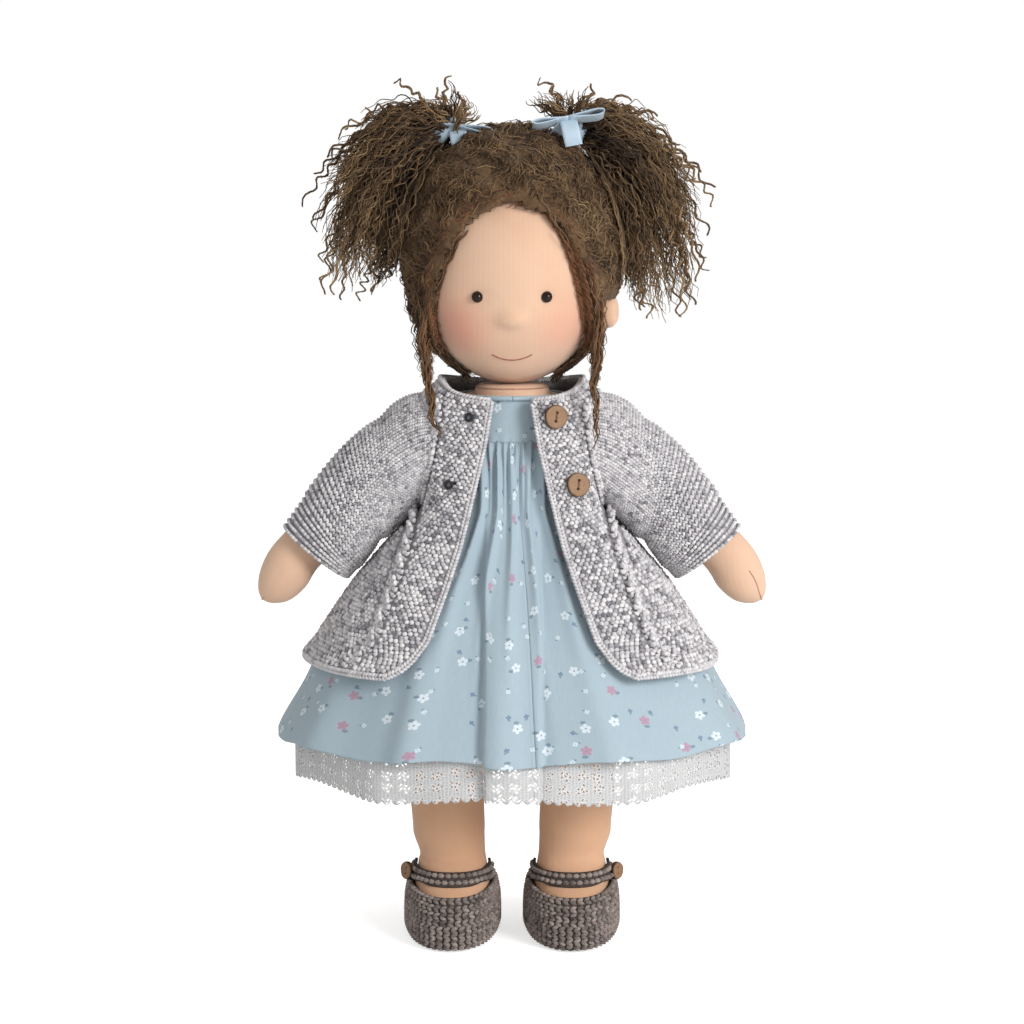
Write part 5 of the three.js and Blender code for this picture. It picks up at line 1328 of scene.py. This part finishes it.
# The cable beside each band: two ropes of long stitches that cross again and again. Each rope is four
# stitches wide; they stand apart by CABLE_WAYS and lean in turns.
CABLE_TURN, CABLE_SWING = 19.0, 2.6
CABLE_WAYS = np.array([-1.6, -0.5, 0.5, 1.6])[:, None, None] * 1.25
CABLE_LEANS = np.array([0.55, -0.55, 0.55, -0.55])[:, None, None]
for side, name in SIDES:
    z = np.linspace(CARDIGAN_HEM + 2.5, NECK_FRONT, LINE_STEPS)
    a, b, roundness = outline(z)
    line = level_point(angle_of(opening_x(z) + BAND + 8.3, z), a + 0.1, b + 0.1, z, roundness)
    run = run_along(line)
    at = np.arange(0.8, run[-1], 2.2)
    where = read(at, run, line)
    ahead = unit(read(at + 0.5, run, line) - where)
    out = unit(where * np.array([1, 1, 0]))
    across = np.cross(ahead, out)
    phase = (2 * math.pi * at / CABLE_TURN + math.pi * np.array([[0], [1]]))[..., None]
    place = where + across * CABLE_SWING * np.sin(phase) + out * (0.8 * np.cos(phase) + 0.3)
    direction = ahead + across * (CABLE_SWING * 2 * math.pi / CABLE_TURN * np.cos(phase))
    place, direction, out = place.reshape(-1, 3), direction.reshape(-1, 3), np.tile(out, (2, 1))
    across = unit(np.cross(direction, out))
    place, direction, out = (part.reshape(-1, 3) * np.array([side, 1, 1]) for part in (
        place + across * CABLE_WAYS, direction - across * CABLE_LEANS, np.tile(out, (4, 1))))
    size = np.array([1.65, 0.85, 1.15]) * random.uniform(0.9, 1.1, (len(place), 1))
    piece = stitches(f"cable_{name}", [(place, direction, out, size, tones(len(place), 0.62))], yarn)
    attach(piece, "torso")


def chain(where, ahead, out, apart, size, middle):
    """Two rows of slanted stitches, side by side along a line."""
    across = unit(np.cross(ahead, out))
    return [(where + across * way * apart, ahead + across * way * 0.6, out, size, tones(len(where), middle))
            for way in (-1, 1)]


# The chain edge of both fronts, the hem and the neck.
EDGE_STITCH = [1.55, 0.85, 1.15]
t = np.linspace(0, 1, LINE_STEPS)
edges = {
    "edge_left": cardigan_point(1.0 + 0 * t, t, -0.6),
    "edge_right": cardigan_point(0 * t, t, -0.6),
    "hem_edge": cardigan_point(t, 0 * t, -0.7),
    "neck_edge": cardigan_point(t, 1.0 + 0 * t, -1.0) + np.array([0, 0, 0.7]),
}
for name, line in edges.items():
    run = run_along(line)
    at = np.arange(0.6, run[-1], 1.7)
    where = read(at, run, line)
    ahead = unit(read(at + 0.4, run, line) - read(at - 0.4, run, line))
    out = unit(where * np.array([1, 1, 0]))
    rows = chain(where, ahead, out, 0.75, EDGE_STITCH, 0.55)
    rows.append((where - out * 1.6, ahead, -out, EDGE_STITCH, tones(len(at), 0.55)))
    piece = stitches(name, rows, edge_yarn)
    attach(piece, "torso")
    if name == "neck_edge":
        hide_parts("neckband")

# A ring of chain stitches joins each sleeve to the body round the armhole.
turn = around(84)
y, z = (ARMHOLE_RADIUS + 0.8) * np.sin(turn), SHOULDER_HEIGHT + (ARMHOLE_RADIUS + 0.8) * np.cos(turn)
a, b, roundness = outline(z)
x = a * (1 - np.minimum(0.97, np.abs(y) / b) ** roundness) ** (1 / roundness) + 0.4
for side, name in SIDES:
    ring = np.stack([side * x, y, z], 1)
    ahead = unit(np.roll(ring, -1, 0) - np.roll(ring, 1, 0))
    out = unit(np.stack([np.full(84, side * 0.8), 0.6 * np.sin(turn), 0.6 * np.cos(turn)], 1))
    piece = stitches(f"armhole_seam_{name}", chain(ring, ahead, out, 0.9, [1.6, 0.95, 1.2], 0.5), yarn)
    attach(piece, "torso")

# Sleeves: stocking stitch whose columns run down the arm, and a garter cuff. Their ends are given in x and z.
ROOT_LOW, ROOT_HIGH = np.array([42.75, 206.0]), np.array([42.75, 257.0])
CUFF_LOW, CUFF_HIGH = np.array([76.7, 169.6]), np.array([108.6, 195.0])
SLEEVE_KNEE = np.array([66.0, 256.0])
ROOT_DEPTH, CUFF_DEPTH = 25.5, 18.5
SLEEVE_COLUMNS, CUFF_COLUMNS, TURN_STEP, SHARE_STEP = 50, 56, 0.02, 0.01


def sleeve_point(angle, share, room, side):
    """A sleeve's surface. Angle 0 is on top, and share runs from the armhole to the cuff."""
    angle, share = np.broadcast_arrays(angle, share)
    s = share[..., None]
    low = ROOT_LOW + (CUFF_LOW - ROOT_LOW) * s
    high = (1 - s) ** 2 * ROOT_HIGH + 2 * s * (1 - s) * SLEEVE_KNEE + s ** 2 * CUFF_HIGH
    up = (high - low) / 2
    long = np.linalg.norm(up, axis=-1)
    crease = 2.2 * np.exp(-((share - 0.55) / 0.07) ** 2) * (0.5 - 0.5 * np.cos(angle)) ** 1.5
    crease = crease + 1.3 * np.exp(-((share - 0.36) / 0.06) ** 2) * (0.5 + 0.5 * np.sin(angle * 2 + 1))
    wave = np.sin(math.pi * share) ** 2 * (np.cos(3 * angle + 9 * share) - 1)
    more = room + wave - crease - 1.2 * ease(share, 0.84, 0.9)
    flat = (low + high) / 2 + up / long[..., None] * ((long + more) * np.cos(angle))[..., None]
    deep = ROOT_DEPTH + (CUFF_DEPTH - ROOT_DEPTH) * share
    return np.stack([side * flat[..., 0], -(deep + more) * np.sin(angle), flat[..., 1]], -1)


for side, name in SIDES:
    a, s = np.meshgrid(around(96), np.linspace(-0.19, 1, 44))
    grid = sleeve_point(a, s, -0.9, side)
    grid = grid[:, ::-1] if side < 0 else grid
    sleeve = cloth(f"sleeve_wall_{name}", grid, 1.3, yarn_under_shade, round_u=True)
    paint(sleeve, tone=0.4)
    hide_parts(f"sleeve_{name}")
    rows = []
    turn = (np.arange(SLEEVE_COLUMNS) + 0.5) / SLEEVE_COLUMNS * 2 * math.pi
    for s in np.concatenate([np.linspace(-0.158, -0.022, 6), np.linspace(0.005, 0.86, 33)]):
        here = sleeve_point(turn, s, -0.35, side)
        ahead = sleeve_point(turn, s + SHARE_STEP, -0.35, side) - here
        beside = sleeve_point(turn + TURN_STEP, s, -0.35, side) - here
        stretch = np.linalg.norm(ahead, axis=1)
        width = np.linalg.norm(beside, axis=1) / TURN_STEP * (2 * math.pi / SLEEVE_COLUMNS)
        ahead, beside = unit(ahead), unit(beside)
        out = away_from(sleeve_point(turn, s, -8.0, side), here, np.cross(beside, ahead))
        size = np.stack([0.9 + 0.7 * stretch, width * 0.26, np.full(SLEEVE_COLUMNS, 1.2)], 1)
        rows += [(here + beside * (way * width * 0.24)[:, None], ahead + beside * way * 0.62, out, size,
                  tones(SLEEVE_COLUMNS)) for way in (-1, 1)]
    for k, s in enumerate(np.linspace(0.885, 0.995, 6)):
        turn = (np.arange(CUFF_COLUMNS) + (0.5 if k % 2 else 0.0)) / CUFF_COLUMNS * 2 * math.pi
        here = sleeve_point(turn, s, -0.1, side)
        beside = unit(sleeve_point(turn + TURN_STEP, s, -0.1, side) - here)
        out = unit(here - sleeve_point(turn, s, -8.0, side))
        rows.append((here, beside, out, [1.5, 0.95, 1.1], tones(CUFF_COLUMNS)))
    knit = stitches(f"sleeve_knit_{name}", rows, yarn)
    for piece in (sleeve, knit):
        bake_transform(piece)

# Shoes
# Crocheted in thick taupe cotton, round and round from the sole, with rounds of stitches under the sole too.
# A strap of two rows crosses the instep and buttons outside.
SHOE_ROWS, SHOE_BOTTOM, SHOE_ROUND = 8, 1.2, 160
SOLE_RINGS = [(0.25, -1.1), (0.6, -1.2), (0.85, -1.2), (0.96, -1.0), (1.0, 0.0), (0.97, 1.0), (0.8, 1.2),
              (0.3, 1.2)]
STRAP_REACH, STRAP_LOW, STRAP_HIGH = math.radians(102), 27.5, 32.6
taupe = yarn_material("taupe_yarn", "#4f4643", "#7f746e", "#a4968f", 0.3)
# The shoe walls, soles and strap walls are a much darker copy of the taupe yarn, as painted shade between and
# under the stitches.
taupe_under_shade = yarn_material("taupe_yarn_under_shade", "#37302d", "#4b433f", "#5d544f", 0.0)


def shoe_edge(angle):
    return edge_height(angle, 23.8, 27.0, 25.0)


def shoe_point(angle, z, room, side):
    """The outside of a shoe, rounded under at the sole."""
    widest = FOOT_FLOOR + 0.24 * INSTEP
    under = 3.4 * (1 - np.clip(z / 6.0, 0, 1)) ** 2
    out = foot_point(angle, np.maximum(z, widest), room - under, side)
    out[..., 2] = z
    return out


def strap_point(angle, share, room, side):
    """The strap's surface. Angle 0 is on the instep, and share runs from its lower edge to its upper one."""
    ends = ease(np.abs(angle), 0.45 * STRAP_REACH, 0.85 * STRAP_REACH)
    bottom = STRAP_LOW + (shoe_edge(angle) + 0.35 - STRAP_LOW) * ends
    return foot_point(angle, bottom + share * (STRAP_HIGH - bottom), room, side)


def upper_line(t, share, side):
    angle = math.pi + t * 2 * math.pi
    return shoe_point(angle, SHOE_BOTTOM + share * (shoe_edge(angle) - SHOE_BOTTOM), 2.7, side)


for side, name in SIDES:
    a, s = np.meshgrid(around(SHOE_ROUND), np.linspace(0, 1, 26))
    grid = shoe_point(a, 1.0 + s * (shoe_edge(a) - 1.0), 2.5, side)
    upper = cloth(f"shoe_wall_{name}", grid, 1.6, taupe_under_shade, f"leg_{name}", round_u=True)
    paint(upper, tone=0.4)
    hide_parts(f"shoe_upper_{name}")
    ring = shoe_point(around(SHOE_ROUND), 1.4, 2.2, side)
    middle = ring.mean(0)
    rings = [middle + (ring - middle) * k + np.array([0, 0, rise]) for k, rise in SOLE_RINGS]
    sole = ringed(f"sole_{name}", rings, taupe_under_shade, f"leg_{name}")
    paint(sole, tone=0.4)
    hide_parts(f"shoe_sole_{name}")

    rows = []
    for k in range(SHOE_ROWS):
        p, d, u, n, _ = stitch_rows(lambda t, s: upper_line(t, s, side), [(k + 0.5) / SHOE_ROWS], 3.5)
        n = away_from(np.array([side * FOOT_X, 0, p[:, 2].mean()]), p, n)
        rows += [(p + u * way * 0.8, d + u * way * 0.42, n, [2.1, 1.0, 1.5], tones(len(p))) for way in (-1, 1)]
    for share in (0.9, 0.72, 0.54, 0.36, 0.18):
        def sole_line(t, s):
            round_sole = shoe_point(t * 2 * math.pi, SHOE_BOTTOM, 2.2, side)
            return middle + (round_sole - middle) * (share + s)[:, None] + np.array([0, 0, -0.75])

        p, d, _, _, _ = stitch_rows(sole_line, [0.0], 3.0)
        rows.append((p, d, [0.0, 0.0, -1.0], [1.6, 1.3, 0.8], tones(len(p), 0.4)))
    piece = stitches(f"crochet_{name}", rows, taupe)
    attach(piece, f"leg_{name}")

    a, s = np.meshgrid(np.linspace(-STRAP_REACH, STRAP_REACH, 120), np.linspace(0, 1, 6))
    strap = cloth(f"strap_wall_{name}", strap_point(a, s, 2.0, side), 1.3, taupe_under_shade, f"leg_{name}")
    paint(strap, tone=0.4)
    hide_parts(f"shoe_strap_{name}")
    p, d, _, n, _ = stitch_rows(lambda t, s: strap_point(STRAP_REACH * (2 * t - 1), s, 2.2, side),
                                [0.22, 0.72], 3.4)
    n = away_from(np.array([side * FOOT_X, 0, 30]), p, n)
    piece = stitches(f"strap_crochet_{name}", [(p, d, n, [1.95, 1.3, 1.3], tones(len(p), 0.55))], taupe)
    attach(piece, f"leg_{name}")

# Buttons
# Two discs sawn from a branch, with bark left at the rim and two drilled holes each, sewn on with brown
# thread, and a smaller one on each shoe. Each row of the profile: shares of the radius and of the thickness.
PROFILE = [(0.86, 0.0), (0.97, 0.15), (1.0, 0.5), (0.98, 0.82), (0.9, 1.0), (0.72, 0.97),
           (0.5, 0.88), (0.2, 0.86)]
BUTTON_WAYS = {"upper": (0.36, -0.93, 0.02), "lower": (0.34, -0.92, 0.17)}


def wood_material():
    """Plain sawn wood with level grain, and dark bark where the bark attribute says so."""
    made, tree = new_material("wood")
    place = add_node(tree, "Mapping", Vector=add_node(tree, "TexCoord", get="Object"), Scale=(1.0, 1.0, 5.0))
    grain = add_node(tree, "TexNoise", Vector=place, Scale=420.0, Detail=5.0, Distortion=1.2)
    bark = add_node(tree, "Attribute", get="Fac", attribute_name="bark")
    base = add_node(tree, "Mix", grain, get=2, _6="#6c4c34", _7="#a8835f", data_type="RGBA")
    base = add_node(tree, "Mix", bark, get=2, _6=base, _7="#3d2616", data_type="RGBA")
    return surfaced(made, Base_Color=base, Roughness=0.55,
                    Normal=add_node(tree, "Bump", Height=grain, Strength=0.4, Distance=0.0004))


def directions(outward):
    """The way a disc faces, and the ways across and up on it."""
    outward = unit(np.array(outward, float))
    across = unit(np.cross([0, 0, 1.0], outward))
    return outward, across, np.cross(outward, across)


def wood_button(name, centre, outward, radius, thick, body):
    """A disc with a rounded rim and two holes; centre and outward give its place and the way it faces."""
    outward, across, up = directions(outward)
    turn = around(48)
    rim = radius * (1 + 0.02 * np.sin(3 * turn + 1) + 0.015 * np.sin(5 * turn))
    edge = np.outer(rim * np.cos(turn), across) + np.outer(rim * np.sin(turn), up)
    made = ringed(name, [centre + edge * r + outward * thick * h for r, h in PROFILE], wood, body)
    for way in (-1, 1):
        place = centre + up * way * radius * 0.33 + across * way * radius * 0.06
        bored(made, [place - outward * 3, place + outward * 5], radius * 0.13, 16)
    from_centre = points_of(made) - centre
    flat = from_centre - np.outer(from_centre @ outward, outward)
    paint(made, bark=ease(np.linalg.norm(flat, axis=1) / radius, 0.9, 0.97))
    return made


wood = wood_material()
thread = thread_material("button_thread", "#4a3020", "#7d5b3f")
t = np.linspace(-1, 1, 16)
for name, way in BUTTON_WAYS.items():
    centre = box_middle(f"button_{name}")
    outward, across, up = directions(way)
    button = wood_button(f"wood_button_{name}", centre - outward * 1.3, outward, 5.6, 2.4, "torso")
    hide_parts(f"button_{name}")
    line = centre + outward * 0.75 + np.outer(t * 1.9, up) - np.outer(0.9 * np.abs(t) ** 4, outward)
    lines = [line + across * shift for shift in (-0.25, 0.25)]
    loop = new_mesh(f"sewing_{name}", *tubes(lines, 0.24, 6), thread)
    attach(loop, "torso")
    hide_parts(f"button_thread_{name}")
for side, name in SIDES:
    centre = box_middle(f"shoe_button_{name}") - np.array([side, 1.0, 0])
    button = wood_button(f"shoe_wood_button_{name}", centre, [side, -0.75, 0.1], 4.3, 2.6, f"leg_{name}")
    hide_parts(f"shoe_button_{name}")

# Ribbons
# Pale blue cotton ribbon, tied round each bunch with a small flat bow in front. Each bow has two loops and
# two tails, one of each on the inner side and one on the outer.
KNOTS = {"left": (5.0, -7.0, 0.5), "right": (-5.0, -17.0, 3.0)}


def ribbon_material():
    """Smooth cotton ribbon with a slight sheen, faded in places."""
    made, tree = new_material("ribbon")
    place = add_node(tree, "UVMap")
    cloud = add_node(tree, "TexNoise", Vector=place, Scale=90.0, Detail=3.0)
    normal, _ = weave_bump(tree, place, 0.35, 0.3, 0.0001)
    colour = add_node(tree, "Mix", cloud, get=2, _6="#9fb4c4", _7="#c3d5e2", data_type="RGBA")
    return surfaced(made, Base_Color=colour, Roughness=0.5, Sheen_Weight=0.3, Normal=normal)


def strip(name, path, width_way, width):
    """A flat band of ribbon along a path, its width set across it."""
    across = unit(np.array(width_way)) * width * np.linspace(-0.5, 0.5, 7)[:, None, None]
    return cloth(name, path + across, 0.35, ribbon, "head")


ribbon = ribbon_material()
for side, name in SIDES:
    tie = TIES[name] + np.array([side * 3.5, 0.0, 3.5])
    axis, level_way = np.array([side * 0.75, 0.0, 0.66]), np.array([0.0, 1.0, 0.0])
    turn = np.linspace(0, 2 * math.pi, 90)
    loop = tie + 8.0 * (np.outer(np.cos(turn), level_way) + np.outer(np.sin(turn), np.cross(axis, level_way)))
    band = strip(f"ribbon_band_{name}", loop, axis, 6.5)
    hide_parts(f"ribbon_{name}")
    knot = tie + np.array(KNOTS[name])
    for way in (-1, 1):
        place = "in" if way * side < 0 else "out"
        t = np.linspace(0, 1, 60)
        lean = np.array([way * 0.98, -0.08, way * side * 0.16])
        path = knot + np.outer(16.5 * np.sin(math.pi * t) ** 0.75, lean)
        path = path + np.outer(1.2 * np.sin(2 * math.pi * t), [0, -0.2, 0.95])
        bow = strip(f"ribbon_loop_{name}_{place}", path, [0.05, -0.93, 0.34], 8.5)
        t = np.linspace(0, 1, 40)
        drop = [0.2, -0.5, -0.85] if way * side > 0 else [0.5 * way, 0.5, -0.65]
        path = knot + np.outer(t * 13.5, drop) + np.outer(0.9 * np.sin(5 * t), [0, -1, 0.3])
        tail = strip(f"ribbon_tail_{name}_{place}", path, [0.97, 0.1, 0.2], 8.0)

# Locks
# A few strands escape the cap before each ear and twist loosely into one thin lock that hangs over the
# shoulder.
LOCKS = {"left": [(-40, -20, 314), (-40.5, -24, 299), (-40.5, -29, 280), (-37.5, -34, 262), (-36, -37, 248),
                  (-31.7, -40, 240)],
         "right": [(38.5, -23, 314), (39.5, -26, 299), (39.5, -31, 281), (37.5, -35, 262), (38.5, -35, 247),
                   (36.6, -34, 233)]}
LOCK_STRANDS, LOCK_STEPS = 15, 90
for name, table in LOCKS.items():
    core = spline_rows(table, 120)
    group = []
    for _ in range(LOCK_STRANDS):
        share = np.linspace(random.uniform(0.0, 0.3), random.uniform(0.72, 1.0), LOCK_STEPS)
        slow = random.uniform(0, 6.28) + 5.0 * share
        quick = random.uniform(0, 6.28) + share * random.uniform(48, 62)
        wide = (2.5 - 1.7 * share) * random.uniform(0.3, 1.0)
        swing = np.stack([wide * np.cos(slow) + 0.55 * np.sin(quick) + 0.5 * np.sin(share * 30),
                          wide * np.sin(slow) + 0.45 * np.cos(quick), 0.3 * np.sin(quick)], 1)
        group.append(read(share, np.linspace(0, 1, 120), core) + swing)
    piece = hair_piece(f"lock_{name}", np.array(group), 0.45, None, random.uniform(0.1, 0.6, (LOCK_STRANDS, 1)),
                       np.linspace(0.3, 0.05, LOCK_STEPS), sides=4)
    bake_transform(piece)
    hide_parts(f"side_lock_{name}")

# Neck thread
# A waxed thread ties off the head from the neck. It goes once round in the groove under
# the chin, where it is hidden.
ring = level_point(np.linspace(0, 2 * math.pi, 121), 17.0, 17.0, 260.4)
tie_thread = new_mesh("neck_thread", *tubes(ring[None], 0.35, 8), seam_thread)
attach(tie_thread, "neck")
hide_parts("neck_tie")
